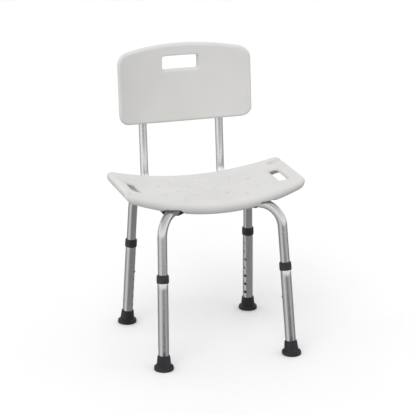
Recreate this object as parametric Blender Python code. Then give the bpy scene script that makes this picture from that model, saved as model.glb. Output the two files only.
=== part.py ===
"""Height-adjustable shower chair: moulded seat and backrest on a knock-down aluminium tube frame.

Units are metres, +Z is up and the chair faces -Y. The origin is on the floor, under the middle of the
chair's overall width and depth. "Left" and "right" are as seen by someone looking at the chair's front.

Four bent upper legs plug into a cross of sockets under the seat. A lower leg slides on each of them, and a
sprung button locks it in one of a row of holes. Two bent posts carry the backrest, and plug into receivers
under the seat from behind.
"""

import math

import bmesh
import bpy
from mathutils import Vector

# ---------------------------------------------------------------- overall layout
FEET_MID_Y = -0.0344            # middle of the four feet, from the middle of the whole chair's depth
FOOT_X = 0.1800                 # feet from the centre plane
FOOT_Y = 0.1825                 # feet from their middle
SPLAY_X = 0.036                 # sideways lean of every leg, per unit of height
SPLAY_FRONT = 0.142             # forward lean of the front legs
SPLAY_REAR = 0.086              # rearward lean of the rear legs
ARM_Z = 0.405                   # centre height of the cross frame
CLEAR = 0.0003                  # gap between fixed pieces that touch
SLIDE_CLEAR = 0.0004            # radial gap between tubes that slide

# ---------------------------------------------------------------- tubes
WALL = 0.0012
OUTER_TUBE_R = 0.0143           # lower legs and cross frame, 28.6 mm
UPPER_LEG_R = 0.0127            # upper legs and receivers, 25.4 mm
POST_R = 0.0111                 # back posts, 22.2 mm
LEG_BEND_R = 0.0635
POST_BEND_R = 0.0570
TUBE_SIDES = 16
BEND_SEGMENTS = 5
DRILL_SIDES = 8

# ---------------------------------------------------------------- moulded plates
SLAB_FRACTIONS = (0.30, 0.65)   # rings between a plate's middle and its edge
SLAB_EDGE_ANGLES = (-90, -50, 0, 50, 90)
OUTLINE_STEP = 0.0400           # longest edge of a plate's outline

# ---------------------------------------------------------------- legs, distances up each leg from the floor
HOLE_PITCH = 0.0254
HOLES_ABOVE = 2
HOLES_BELOW = 4
BUTTON_L = 0.1584
UPPER_END_L = 0.1185            # lower end of the upper leg, inside the lower leg
LOWER_START_L = 0.0104
COLLAR_L = 0.2334
COLLAR_H = 0.0220
COLLAR_R = 0.0165
SOCKET_COLLAR_R = 0.0158
COLLAR_LIP = 0.0040             # part of a collar that closes over its tube's end
SOCKET_S = 0.1480               # mouth of a socket, from the hub
STUB_S = 0.0700                 # upper leg's end inside its socket, from the hub
FOOT_H = 0.0376
FOOT_FLANGE_R = 0.0263
FOOT_FLOOR = 0.0100             # rubber under the tube

# ---------------------------------------------------------------- sprung buttons
BUTTON_R = 0.0037
BUTTON_PROUD = 0.0026
BUTTON_HOLE_R = 0.0041
LEAF_T = 0.0008
LEAF_HALF_W = 0.0040
LEAF_FRONT = 0.0110             # leaf past the button
LEAF_BACK = 0.0240              # leaf from the button to its fold
SOCKET_BUTTON_S = 0.1080        # from the hub
RECEIVER_BUTTON_IN = 0.0250     # from the receiver's mouth

# ---------------------------------------------------------------- seat
SEAT_HALF_W = 0.2492
SEAT_FRONT = 0.0960             # front corners ahead of the feet's middle
SEAT_REAR = 0.1340              # rear corners behind it
SEAT_BOW_FRONT = 0.0297
SEAT_BOW_REAR = 0.0234
SEAT_CORNER_R = 0.0190
SEAT_TOP_Z = 0.4290             # lowest part of the sitting surface
SEAT_RISE = 0.0400              # how far the ends curve up
SEAT_T = 0.0330
SEAT_TAPER = 0.12               # share of its thickness that the seat loses towards its ends
SEAT_RIMS = (0.0120, 0.0170)    # inward reach of the rounded edge, below and above
HANDLE_X = 0.2025
HANDLE_Y = 0.0060               # middle of a handle opening, from the feet's middle
HANDLE_HALF = (0.0115, 0.0510)
HANDLE_CORNER_R = 0.0100
HANDLE_FLARE = 0.0080
HANDLE_WEB = 0.0135             # thickness left around a handle opening
DRAIN_R = 0.0040
DRAIN_Y = -0.0050
DRAIN_PITCH = (0.0425, 0.0380)
DRAIN_ROWS = 5
HOSE_GROOVE_R = 0.0130
HOSE_GROOVE_DROP = 0.0030       # groove's axis below the sitting surface
HOSE_GROOVES = (                # side, place from the feet's middle, and inner end from the centre plane
    (1, 0.0930, 0.2060),
    (-1, -0.0760, 0.2260),
)
CHANNEL_R = OUTER_TUBE_R + SLIDE_CLEAR
CHANNEL_S = 0.2600              # each channel's end, from the hub and past the seat's edge
CHANNEL_DEPTH = 0.0400
CUT_PAST = 0.0300               # how far cutters run past a face that they open
NOTCH_R = SOCKET_COLLAR_R + SLIDE_CLEAR
STUB_CHANNEL_R = UPPER_LEG_R + 2 * SLIDE_CLEAR
RELIEF_S = (0.1180, 0.2200)     # the relief beside a stub, from the hub
RELIEF_REACH = 0.0330           # from a stub's axis, towards the middle of the seat's edge
RELIEF_TOP = 0.0115             # above a stub's axis
RELIEF_R = 0.0120

# ---------------------------------------------------------------- backrest
POST_X = 0.1110
POST_Y = 0.2380                 # post at POST_REF_Z, from the feet's middle
POST_REF_Z = 0.4940
RECLINE = 0.0995                # rearward lean per unit of height
POST_TOP_Z = 0.7200
BACK_Y = 0.2450                 # centre of the panel at its foot, from the feet's middle
BACK_Z = 0.5718                 # lower corners
BACK_HALF_W = 0.1907
BACK_H = 0.1912
BACK_CURVE = 0.0520             # how far the panel's sides come forward
BACK_ARCH = 0.0135
BACK_SAG = 0.0150
BACK_T = 0.0240
BACK_RIMS = (0.0080, 0.0080)    # in front and behind
BACK_CORNER_R = 0.0270
BACK_HANDLE_HALF = (0.0515, 0.0195)
BACK_HANDLE_S = 0.1510          # middle of the opening, up the panel
BACK_HANDLE_FLARE = 0.0030      # on the panel's front
BACK_HANDLE_CORNER_R = 0.0070
SLEEVE_R = 0.0145
SLEEVE_FOOT_S = -0.0060
SLEEVE_TOP_S = 0.1640
BACK_SCREW_S = (0.0300, 0.1250)
SPOTFACE_Y = SLEEVE_R - 0.0010  # flat for a screw's head, behind a post's axis

# ---------------------------------------------------------------- underframe
RECEIVER_R = UPPER_LEG_R
RECEIVER_Z = 0.3724
RECEIVER_FRONT = 0.0200         # from the feet's middle
RECEIVER_REAR = 0.1500
POST_END = 0.0420               # front end of a post inside its receiver
COPE_S = 0.0600                 # half the length of the cutter that copes the short cross tubes
PLATE_HALF = (0.1230, 0.0300)
PLATE_T = 0.0050
PLATE_CORNER_R = 0.0100
SADDLE_S = 0.0820               # from the hub
SADDLE_HALF_L = 0.0100
SADDLE_T = 0.0020
SADDLE_EAR = 0.0150
SADDLE_EAR_Z = 0.3960           # top of the ears
SADDLE_PAD_MARGIN = (0.0020, 0.0030)   # of a seat pad past the ears, along its arm and across it
SCREW_R = 0.0019
SCREW_HEAD_R = 0.0040
SCREW_HEAD_H = 0.0022
SCREW_LENGTH = 0.0120

LEG_PLACES = {
    "front_left": (-1, -1),
    "front_right": (1, -1),
    "rear_left": (-1, 1),
    "rear_right": (1, 1),
}
SIDES = {"left": -1, "right": 1}
UP = Vector((0, 0, 1))
BACKWARD = Vector((0, 1, 0))


# ================================================================ scene and materials
def clear_scene():
    for item in list(bpy.data.objects):
        bpy.data.objects.remove(item, do_unlink=True)


def principled(name, colour, roughness, metallic=0.0):
    material = bpy.data.materials.new(name)
    material.use_nodes = True
    shader = material.node_tree.nodes["Principled BSDF"]
    shader.inputs["Base Color"].default_value = (*colour, 1.0)
    shader.inputs["Roughness"].default_value = roughness
    shader.inputs["Metallic"].default_value = metallic
    return material


def white_plastic(name):
    return principled(name, (0.70, 0.70, 0.68), 0.45)


def aluminium(name):
    return principled(name, (0.60, 0.61, 0.62), 0.35, 1.0)


def black_plastic(name):
    return principled(name, (0.020, 0.020, 0.022), 0.50)


def black_rubber(name):
    return principled(name, (0.022, 0.022, 0.028), 0.80)


def brass(name):
    return principled(name, (0.55, 0.33, 0.16), 0.35, 1.0)


def zinc_steel(name):
    return principled(name, (0.45, 0.46, 0.48), 0.40, 1.0)


def pivot(name, place):
    """An empty on a joint's axis, which the pieces that move with the joint hang from."""
    empty = bpy.data.objects.new(name, None)
    empty.empty_display_size = 0.02
    empty.location = place
    bpy.context.scene.collection.objects.link(empty)
    return empty


def add_object(name, mesh):
    item = bpy.data.objects.new(name, mesh)
    bpy.context.scene.collection.objects.link(item)
    return item


def add_piece(name, mesh, material, parent=None):
    """Makes a named piece from a mesh in world coordinates, with its origin on its parent's."""
    if parent:
        for vertex in mesh.vertices:
            vertex.co -= parent.location
    mesh.shade_smooth()
    mesh.set_sharp_from_angle(angle=math.radians(35))
    mesh.materials.append(material(name + "_finish"))
    item = add_object(name, mesh)
    item.parent = parent
    return item


def cut(item, mesh, operation="DIFFERENCE"):
    """Cuts or joins a piece with a mesh in world coordinates."""
    count = len(item.modifiers) + 1
    tool = add_object(f"{item.name}_tool_{count}", mesh)
    tool.hide_render = True
    tool.display_type = "WIRE"
    modifier = item.modifiers.new(f"{operation.lower()}_{count}", "BOOLEAN")
    modifier.operation = operation
    modifier.solver = "EXACT"
    modifier.object = tool


# ================================================================ meshes
def mesh_from(bm, name="shape"):
    bmesh.ops.recalc_face_normals(bm, faces=bm.faces)
    mesh = bpy.data.meshes.new(name)
    bm.to_mesh(mesh)
    bm.free()
    return mesh


def loft_into(bm, rings, loop=False):
    """Skins a row of rings. A loop joins the last ring to the first; otherwise both ends are capped."""
    rows = [[bm.verts.new(point) for point in ring] for ring in rings]
    pairs = list(zip(rows, rows[1:]))
    if loop:
        pairs.append((rows[-1], rows[0]))
    for lower, upper in pairs:
        for i in range(len(lower)):
            j = (i + 1) % len(lower)
            bm.faces.new((lower[i], lower[j], upper[j], upper[i]))
    if not loop:
        bm.faces.new(rows[0])
        bm.faces.new(rows[-1])


def loft(rings, loop=False):
    bm = bmesh.new()
    loft_into(bm, rings, loop)
    return mesh_from(bm)


def across(direction):
    """A unit vector square to a direction."""
    helper = UP if abs(direction.z) < 0.9 else Vector((1, 0, 0))
    return direction.cross(helper).normalized()


def ring(centre, direction, side, radius, sides):
    other = direction.cross(side)
    angles = [math.tau * i / sides for i in range(sides)]
    return [centre + radius * (math.cos(a) * side + math.sin(a) * other) for a in angles]


def turned_rings(start, direction, profile, sides=TUBE_SIDES):
    """Rings of a turned shape, from a profile of (distance along the axis, radius)."""
    side = across(direction)
    return [ring(start + direction * along, direction, side, radius, sides) for along, radius in profile]


def turned(start, direction, profile, sides=TUBE_SIDES, hollow=False):
    return loft(turned_rings(start, direction, profile, sides), loop=hollow)


def rod(start, direction, length, radius, sides=10):
    return turned(start, direction, [(0, radius), (length, radius)], sides)


def rods(places, direction, length, radius, sides=10):
    """Several separate rods in one mesh."""
    bm = bmesh.new()
    for place in places:
        loft_into(bm, turned_rings(place, direction, [(0, radius), (length, radius)], sides))
    return mesh_from(bm)


def bent_path(start, corner, end, radius):
    """Stations (point, direction) along a line that turns once, on an arc."""
    inward = (corner - start).normalized()
    outward = (end - corner).normalized()
    turn = inward.angle(outward)
    reach = radius * math.tan(turn / 2)
    side = inward.cross(outward).normalized()
    middle = corner - inward * reach + side.cross(inward) * radius
    stations = [(start, inward)]
    for i in range(BEND_SEGMENTS + 1):
        angle = turn * i / BEND_SEGMENTS
        direction = inward * math.cos(angle) + side.cross(inward) * math.sin(angle)
        stations.append((middle - side.cross(direction) * radius, direction))
    stations.append((end, outward))
    return stations, side


def bent_tube(stations, side, outer, inner):
    outside = [ring(p, d, side, outer, TUBE_SIDES) for p, d in stations]
    inside = [ring(p, d, side, inner, TUBE_SIDES) for p, d in reversed(stations)]
    return loft(outside + inside, loop=True)


def straight_tube(start, direction, length, outer, inner):
    profile = [(0, inner), (0, outer), (length, outer), (length, inner)]
    return turned(start, direction, profile, hollow=True)


def rounded_rectangle(half_x, half_y, radius, steps=3):
    """Corner arcs of a rounded rectangle, anticlockwise."""
    points = []
    for quarter, (sx, sy) in enumerate(((1, 1), (-1, 1), (-1, -1), (1, -1))):
        for i in range(steps + 1):
            angle = math.radians(90 * (quarter + i / steps))
            x = sx * (half_x - radius) + radius * math.cos(angle)
            y = sy * (half_y - radius) + radius * math.sin(angle)
            points.append((x, y))
    return points


def refined(points, longest):
    """The same closed outline with its long edges divided."""
    finer = []
    for i, (x, y) in enumerate(points):
        nx, ny = points[(i + 1) % len(points)]
        pieces = max(1, math.ceil(math.hypot(nx - x, ny - y) / longest))
        finer += [(x + (nx - x) * k / pieces, y + (ny - y) * k / pieces) for k in range(pieces)]
    return finer


def inset(points, distance):
    """An anticlockwise outline moved inwards."""
    moved = []
    count = len(points)
    for i, (x, y) in enumerate(points):
        before, after = points[i - 1], points[(i + 1) % count]
        tangent = Vector((after[0] - before[0], after[1] - before[1])).normalized()
        moved.append((x - tangent.y * distance, y + tangent.x * distance))
    return moved


def slab(outline, rims, thickness, middle, place):
    """A curved plate with rounded edges. place(u, v, w) puts a point of the plate in the world."""
    rings = []
    half = thickness / 2
    low, high = rims
    for fraction in SLAB_FRACTIONS:
        rings.append((-half, [blend_to(middle, p, fraction) for p in inset(outline, low)]))
    for degrees in SLAB_EDGE_ANGLES:
        angle = math.radians(degrees)
        reach = high if degrees > 0 else low
        rings.append((half * math.sin(angle), inset(outline, reach * (1 - math.cos(angle)))))
    for fraction in reversed(SLAB_FRACTIONS):
        rings.append((half, [blend_to(middle, p, fraction) for p in inset(outline, high)]))
    return loft([[place(u, v, w) for u, v in points] for w, points in rings])


def blend_to(middle, point, fraction):
    return tuple(m + (p - m) * fraction for m, p in zip(middle, point))


# ================================================================ shared geometry
class Leg:
    """The line of one leg: up from its foot, then inwards along its socket to the hub."""

    def __init__(self, name):
        self.name = name
        sx, sy = LEG_PLACES[name]
        splay_y = SPLAY_FRONT if sy < 0 else SPLAY_REAR
        self.foot = Vector((sx * FOOT_X, FEET_MID_Y + sy * FOOT_Y, 0))
        self.rise = Vector((-sx * SPLAY_X, -sy * splay_y, 1)).normalized()
        self.corner = self.foot + self.rise * (ARM_Z / self.rise.z)
        self.inward = (HUB - self.corner).normalized()
        self.outward = -self.inward
        self.faces_in = (self.inward - self.inward.dot(self.rise) * self.rise).normalized()

    def along(self, distance):
        return self.foot + self.rise * distance

    def from_hub(self, distance):
        return HUB + self.outward * distance


def hub_place():
    front = -(FOOT_Y - SPLAY_FRONT * ARM_Z)
    rear = FOOT_Y - SPLAY_REAR * ARM_Z
    return Vector((0, FEET_MID_Y + (front + rear) / 2, ARM_Z))


HUB = hub_place()


def seat_top(x):
    return SEAT_TOP_Z + SEAT_RISE * (x / SEAT_HALF_W) ** 2


def post_point(side, z):
    return Vector((side * POST_X, FEET_MID_Y + POST_Y + (z - POST_REF_Z) * RECLINE, z))


def post_direction():
    return Vector((0, RECLINE, 1)).normalized()


def back_point(x, s, w):
    lean = post_direction()
    depth = FEET_MID_Y + BACK_Y - BACK_CURVE * (x / BACK_HALF_W) ** 2
    return Vector((x, depth + s * lean.y + w, BACK_Z + s * lean.z))


# ================================================================ seat
def seat_outline():
    half_y = (SEAT_FRONT + SEAT_REAR) / 2
    centre_y = FEET_MID_Y + (SEAT_REAR - SEAT_FRONT) / 2
    points = refined(rounded_rectangle(SEAT_HALF_W, half_y, SEAT_CORNER_R), OUTLINE_STEP)
    bowed = []
    for x, y in points:
        bow = 1 - (x / SEAT_HALF_W) ** 2
        if abs(y) > half_y - SEAT_CORNER_R:
            y += bow * (SEAT_BOW_REAR if y > 0 else -SEAT_BOW_FRONT)
        bowed.append((x, y + centre_y))
    return bowed


def drain_places():
    """A staggered lattice of drain holes around the middle of the seat."""
    places = []
    for row in range(DRAIN_ROWS):
        y = FEET_MID_Y + DRAIN_Y + (row - DRAIN_ROWS // 2) * DRAIN_PITCH[1]
        columns = (-2, 0, 2) if row % 2 == 0 else (-3, -1, 1, 3)
        places += [Vector((column * DRAIN_PITCH[0], y, 0)) for column in columns]
    return places


def handle_frame(side):
    """Centre on the sitting surface, and the slope across it, of a handle opening."""
    x = side * HANDLE_X
    slope = 2 * SEAT_RISE * x / SEAT_HALF_W ** 2
    tilt = Vector((1, 0, slope)).normalized()
    return Vector((x, FEET_MID_Y + HANDLE_Y, seat_top(x))), tilt


def handle_cutter(side):
    centre, tilt = handle_frame(side)
    normal = tilt.cross(BACKWARD)
    half_x, half_y = HANDLE_HALF
    levels = ((0.010, HANDLE_FLARE), (0, HANDLE_FLARE * 0.7), (-0.008, 0), (-2 * SEAT_T, 0))
    rings = []
    for height, grow in levels:
        corner = HANDLE_CORNER_R + grow
        outline = rounded_rectangle(half_x + grow, half_y + grow, corner)
        rings.append([centre + tilt * x + BACKWARD * y + normal * height for x, y in outline])
    return loft(rings)


def finger_recess_cutter(side):
    """The hollow under a handle opening, which leaves a thin web to hold."""
    centre, tilt = handle_frame(side)
    normal = tilt.cross(BACKWARD)
    half_x, half_y = HANDLE_HALF
    levels = ((-HANDLE_WEB, 0.010), (-HANDLE_WEB - 0.006, 0.016), (-2 * SEAT_T, 0.018))
    rings = []
    for height, grow in levels:
        outline = rounded_rectangle(half_x + grow, half_y + grow, HANDLE_CORNER_R + grow / 2)
        rings.append([centre + tilt * x + BACKWARD * y + normal * height for x, y in outline])
    return loft(rings)


def hose_groove_cutter(side, y, inner_x):
    start, end = [Vector((side * x, FEET_MID_Y + y, seat_top(x) - HOSE_GROOVE_DROP))
                  for x in (inner_x, SEAT_HALF_W + CUT_PAST)]
    length = (end - start).length
    profile = [(0, 0.7 * HOSE_GROOVE_R), (0.0020, HOSE_GROOVE_R), (length, HOSE_GROOVE_R)]
    return turned(start, (end - start).normalized(), profile, sides=12)


def arch(radius, depth):
    """Section of a channel: a half round over straight walls, as (across, height) points."""
    steps = 8
    angles = [math.pi * i / steps for i in range(steps + 1)]
    half_round = [(radius * math.cos(a), radius * math.sin(a)) for a in angles]
    return half_round + [(-radius, -depth), (radius, -depth)]


def channel_cutter(leg, radius):
    """A channel for one line of the cross frame, wider at the collars and narrower past them."""
    collar_s = SOCKET_S - COLLAR_H - 0.002
    across_arm = across(leg.outward)
    mouth_s = SOCKET_S + 0.002
    stations = [(-CHANNEL_S, STUB_CHANNEL_R), (-mouth_s - 0.001, STUB_CHANNEL_R), (-mouth_s, NOTCH_R)]
    stations += [(-collar_s, NOTCH_R), (-collar_s + 0.001, radius)]
    stations += [(-s, reach) for s, reach in reversed(stations)]
    rings = []
    for s, reach in stations:
        section = arch(reach, CHANNEL_DEPTH)
        rings.append([leg.from_hub(s) + across_arm * u + UP * v for u, v in section])
    return loft(rings)


def stub_relief(leg):
    """A rounded relief in the seat's edge beside a stub, on the side of the edge's middle."""
    across_arm = across(leg.outward)
    middle = RELIEF_REACH - RELIEF_R
    turns = [math.radians(30 * step) for step in range(4)]
    corner = [(middle + RELIEF_R * math.cos(a), RELIEF_TOP - RELIEF_R * (1 - math.sin(a))) for a in turns]
    section = [(0, -CHANNEL_DEPTH), (RELIEF_REACH, -CHANNEL_DEPTH)] + corner + [(0, RELIEF_TOP)]
    if across_arm.x * leg.outward.x > 0:
        section = [(-u, v) for u, v in reversed(section)]
    rings = []
    for s in RELIEF_S:
        rings.append([leg.from_hub(s) + across_arm * u + UP * v for u, v in section])
    return loft(rings)


def saddle_pad(leg):
    """A block under the seat that a saddle's ears bear on."""
    length = SADDLE_HALF_L + SADDLE_PAD_MARGIN[0]
    width = CHANNEL_R + SADDLE_EAR + SADDLE_PAD_MARGIN[1]
    corners = ((-length, -width), (length, -width), (length, width), (-length, width))
    across_arm = across(leg.outward)
    rings = []
    for z in (SADDLE_EAR_Z + CLEAR, SEAT_TOP_Z - SEAT_T / 2):
        flat = [leg.from_hub(SADDLE_S + a) + across_arm * b for a, b in corners]
        rings.append([Vector((p.x, p.y, z)) for p in flat])
    return loft(rings)


def saddle_screw_places(leg):
    reach = OUTER_TUBE_R + SADDLE_T + SADDLE_EAR * 0.55
    across_arm = across(leg.outward)
    return [leg.from_hub(SADDLE_S) + across_arm * side * reach for side in (-1, 1)]


def make_seat(legs):
    centre = (0, FEET_MID_Y + (SEAT_REAR - SEAT_FRONT) / 2)

    def place(x, y, w):
        below = (SEAT_T / 2 - w) * (1 - SEAT_TAPER * (x / SEAT_HALF_W) ** 2)
        return Vector((x, y, seat_top(x) - below))

    seat = add_piece("seat", slab(seat_outline(), SEAT_RIMS, SEAT_T, centre, place), white_plastic)
    for leg in legs.values():
        cut(seat, saddle_pad(leg), "UNION")
    cut(seat, channel_cutter(legs["front_left"], CHANNEL_R))
    cut(seat, channel_cutter(legs["front_right"], CHANNEL_R + CLEAR))
    for leg in legs.values():
        cut(seat, stub_relief(leg))
    for side in (-1, 1):
        cut(seat, finger_recess_cutter(side))
        cut(seat, handle_cutter(side))
    for groove in HOSE_GROOVES:
        cut(seat, hose_groove_cutter(*groove))
    low = SEAT_TOP_Z - 2 * SEAT_T
    height = 2 * SEAT_T + SEAT_RISE
    drains = [Vector((p.x, p.y, low)) for p in drain_places()]
    cut(seat, rods(drains, UP, height, DRAIN_R, DRILL_SIDES))
    low = ARM_Z - CUT_PAST
    pilots = [Vector((p.x, p.y, low)) for leg in legs.values() for p in saddle_screw_places(leg)]
    depth = SADDLE_EAR_Z + SCREW_LENGTH + 2 * CLEAR - low
    cut(seat, rods(pilots, UP, depth, SCREW_R + CLEAR, DRILL_SIDES))


# ================================================================ cross frame
def plate_top():
    return ARM_Z - OUTER_TUBE_R - CLEAR


def make_cross_frame(legs):
    """One through tube and two short tubes coped to its sides, with a hole for each button."""
    inner = OUTER_TUBE_R - WALL
    main = legs["front_left"]
    half = SOCKET_S - COLLAR_LIP - CLEAR
    tube_of = {}
    mesh = straight_tube(main.from_hub(half), main.inward, 2 * half, OUTER_TUBE_R, inner)
    through = add_piece("cross_tube_main", mesh, aluminium)
    tube_of["front_left"] = tube_of["rear_right"] = through
    for name in ("front_right", "rear_left"):
        leg = legs[name]
        mesh = straight_tube(HUB, leg.outward, half, OUTER_TUBE_R, inner)
        tube_of[name] = add_piece(f"cross_tube_{name}", mesh, aluminium)
        cope = rod(main.from_hub(COPE_S), main.inward, 2 * COPE_S, OUTER_TUBE_R + CLEAR, TUBE_SIDES)
        cut(tube_of[name], cope)
    drop = 2 * OUTER_TUBE_R
    for name, leg in legs.items():
        button = leg.from_hub(SOCKET_BUTTON_S) - UP * drop
        cut(tube_of[name], rod(button, UP, drop, BUTTON_HOLE_R, DRILL_SIDES))


def make_plate():
    """The plate that ties the receivers to the cross frame."""
    half_x, half_y = PLATE_HALF
    outline = rounded_rectangle(half_x, half_y, PLATE_CORNER_R)
    rings = [[Vector((x, HUB.y + y, z)) for x, y in outline] for z in (plate_top() - PLATE_T, plate_top())]
    add_piece("underframe_plate", loft(rings), aluminium)


def make_receivers():
    length = RECEIVER_REAR - RECEIVER_FRONT
    for name, side in SIDES.items():
        front = Vector((side * POST_X, FEET_MID_Y + RECEIVER_FRONT, RECEIVER_Z))
        mesh = straight_tube(front, BACKWARD, length, RECEIVER_R, RECEIVER_R - WALL)
        receiver = add_piece(f"receiver_{name}", mesh, aluminium)
        cut(receiver, rod(receiver_button(side), -UP, 2 * RECEIVER_R, BUTTON_HOLE_R, DRILL_SIDES))


def make_screw(name, seat_face, direction, grip, parent=None):
    """A pan-head screw. seat_face is where its head bears, and grip is its length under the head."""
    start = seat_face - direction * (SCREW_HEAD_H + CLEAR)
    profile = [(0, SCREW_HEAD_R * 0.75), (SCREW_HEAD_H / 2, SCREW_HEAD_R), (SCREW_HEAD_H, SCREW_HEAD_R)]
    profile += [(SCREW_HEAD_H, SCREW_R), (SCREW_HEAD_H + grip, SCREW_R)]
    add_piece(name, turned(start, direction, profile, 8), zinc_steel, parent)


def saddle_section():
    """A strap that passes under a tube, with two flat ears, as (across, height) points."""
    inner = OUTER_TUBE_R + CLEAR
    outer = inner + SADDLE_T
    ear_top = SADDLE_EAR_Z - ARM_Z
    ear_low = ear_top - SADDLE_T
    reach = outer + SADDLE_EAR
    steps = 8

    def underside(radius, height):
        """The arc of a strap's face between its two ears."""
        start = math.asin(height / radius)
        angles = [start + (-math.pi - 2 * start) * i / steps for i in range(steps + 1)]
        return [(radius * math.cos(a), radius * math.sin(a)) for a in angles]

    upper = [(reach, ear_top)] + underside(inner, ear_top) + [(-reach, ear_top)]
    lower = [(reach, ear_low)] + underside(outer, ear_low) + [(-reach, ear_low)]
    return upper + lower[::-1]


def make_saddles(legs):
    """Straps that hold the seat down on the cross frame, and their screws."""
    low = SADDLE_EAR_Z - SADDLE_T
    for name, leg in legs.items():
        section = saddle_section()
        across_arm = across(leg.outward)
        rings = []
        for s in (SADDLE_S - SADDLE_HALF_L, SADDLE_S + SADDLE_HALF_L):
            rings.append([leg.from_hub(s) + across_arm * u + UP * v for u, v in section])
        saddle = add_piece(f"seat_saddle_{name}", loft(rings), aluminium)
        ears = [Vector((p.x, p.y, low)) for p in saddle_screw_places(leg)]
        cut(saddle, rods([ear - UP * SADDLE_T for ear in ears], UP, 4 * SADDLE_T, SCREW_R + CLEAR))
        for number, ear in enumerate(ears, 1):
            make_screw(f"seat_screw_{name}_{number}", ear, UP, SADDLE_T + SCREW_LENGTH)


def collar_mesh(start, direction, radius):
    """A collar pushed over a tube's end. start is its open end, and its lip closes on the sliding tube."""
    grip = OUTER_TUBE_R + CLEAR
    lip = UPPER_LEG_R + SLIDE_CLEAR
    edge = 0.0012
    profile = [
        (0, grip),
        (0, radius - edge),
        (edge, radius),
        (COLLAR_H - 2 * edge, radius),
        (COLLAR_H, radius - 1.5 * edge),
        (COLLAR_H, lip),
        (COLLAR_H - COLLAR_LIP, lip),
        (COLLAR_H - COLLAR_LIP, grip),
    ]
    return turned(start, direction, profile, hollow=True)


def make_socket_collars(legs):
    for name, leg in legs.items():
        start = leg.from_hub(SOCKET_S - COLLAR_H)
        add_piece(f"socket_collar_{name}", collar_mesh(start, leg.outward, SOCKET_COLLAR_R), black_plastic)


# ================================================================ sprung buttons
def ribbon(points, thickness):
    """A closed outline around an open line of (u, v) points."""
    left, right = [], []
    for i, (u, v) in enumerate(points):
        before = points[max(i - 1, 0)]
        after = points[min(i + 1, len(points) - 1)]
        tangent = Vector((after[0] - before[0], after[1] - before[1])).normalized()
        shift = tangent.orthogonal() * thickness / 2
        left.append((u + shift.x, v + shift.y))
        right.append((u - shift.x, v - shift.y))
    return left + right[::-1]


def make_snap_clip(name, place, axis, faces, bore, outside, parent):
    """A folded leaf spring inside a tube, with a button through the tube's wall.

    place is on the tube's axis, level with the button. The leaf's fold lies along -axis. faces is the way
    the button points, bore is the tube's inner radius, and outside is the radius that the button stands
    proud of.
    """
    high = math.sqrt(bore ** 2 - LEAF_HALF_W ** 2) - LEAF_T
    fold = LEAF_BACK
    line = [(LEAF_FRONT, high), (-LEAF_FRONT, high), (0.002 - fold, 0.0016), (-fold, 0)]
    line += [(0.002 - fold, -0.0016), (-LEAF_FRONT, -high), (0, -high)]
    side = axis.cross(faces).normalized()
    section = ribbon(line, LEAF_T)
    rings = []
    for w in (-LEAF_HALF_W, LEAF_HALF_W):
        rings.append([place + axis * u + faces * v + side * w for u, v in section])
    clip = add_piece(name, loft(rings), brass, parent)
    top = outside + BUTTON_PROUD
    profile = [(high, BUTTON_R), (top - 0.0015, BUTTON_R)]
    profile += [(top - 0.0004, BUTTON_R * 0.7), (top, BUTTON_R * 0.3)]
    cut(clip, turned(place, faces, profile, DRILL_SIDES), "UNION")


def receiver_button(side):
    return Vector((side * POST_X, FEET_MID_Y + RECEIVER_REAR - RECEIVER_BUTTON_IN, RECEIVER_Z))


# ================================================================ legs
def make_foot(leg, parent):
    """A rubber foot: a cup around the leaning tube, on a flat flange that stays level with the floor."""
    grip = OUTER_TUBE_R + CLEAR
    outside = [
        (0.0000, 0.0240, 0.0),
        (0.0018, FOOT_FLANGE_R, 0.0),
        (0.0085, FOOT_FLANGE_R, 0.1),
        (0.0118, 0.0235, 0.3),
        (0.0135, 0.0198, 0.6),
        (0.0200, 0.0187, 1.0),
        (FOOT_H - 0.0015, 0.0168, 1.0),
        (FOOT_H, 0.0156, 1.0),
    ]
    inside = [(FOOT_H, grip, 1.0), (FOOT_FLOOR, grip, 1.0)]
    rings = []
    for along, radius, lean in outside + inside:
        direction = UP.lerp(leg.rise, lean).normalized()
        side = direction.cross(leg.faces_in).normalized()
        rings.append(ring(leg.along(along), direction, side, radius, TUBE_SIDES))
    add_piece(f"foot_{leg.name}", loft(rings), black_rubber, parent)


def make_upper_leg(leg, parent):
    start = leg.along(UPPER_END_L)
    end = leg.from_hub(STUB_S)
    stations, side = bent_path(start, leg.corner, end, LEG_BEND_R)
    bore = UPPER_LEG_R - WALL
    mesh = bent_tube(stations, side, UPPER_LEG_R, bore)
    tube = add_piece(f"upper_leg_{leg.name}", mesh, aluminium, parent)
    drill = 2 * UPPER_LEG_R
    cut(tube, rod(leg.along(BUTTON_L), leg.faces_in, drill, BUTTON_HOLE_R, DRILL_SIDES))
    cut(tube, rod(leg.from_hub(SOCKET_BUTTON_S), -UP, drill, BUTTON_HOLE_R, DRILL_SIDES))


def make_lower_leg(leg, parent):
    length = COLLAR_L + COLLAR_H - COLLAR_LIP - CLEAR - LOWER_START_L
    mesh = straight_tube(leg.along(LOWER_START_L), leg.rise, length, OUTER_TUBE_R, OUTER_TUBE_R - WALL)
    tube = add_piece(f"lower_leg_{leg.name}", mesh, aluminium, parent)
    steps = range(-HOLES_BELOW, HOLES_ABOVE + 1)
    holes = [leg.along(BUTTON_L + step * HOLE_PITCH) for step in steps]
    cut(tube, rods(holes, leg.faces_in, 2 * OUTER_TUBE_R, BUTTON_HOLE_R, DRILL_SIDES))
    mesh = collar_mesh(leg.along(COLLAR_L), leg.rise, COLLAR_R)
    add_piece(f"leg_collar_{leg.name}", mesh, black_plastic, parent)


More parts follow.
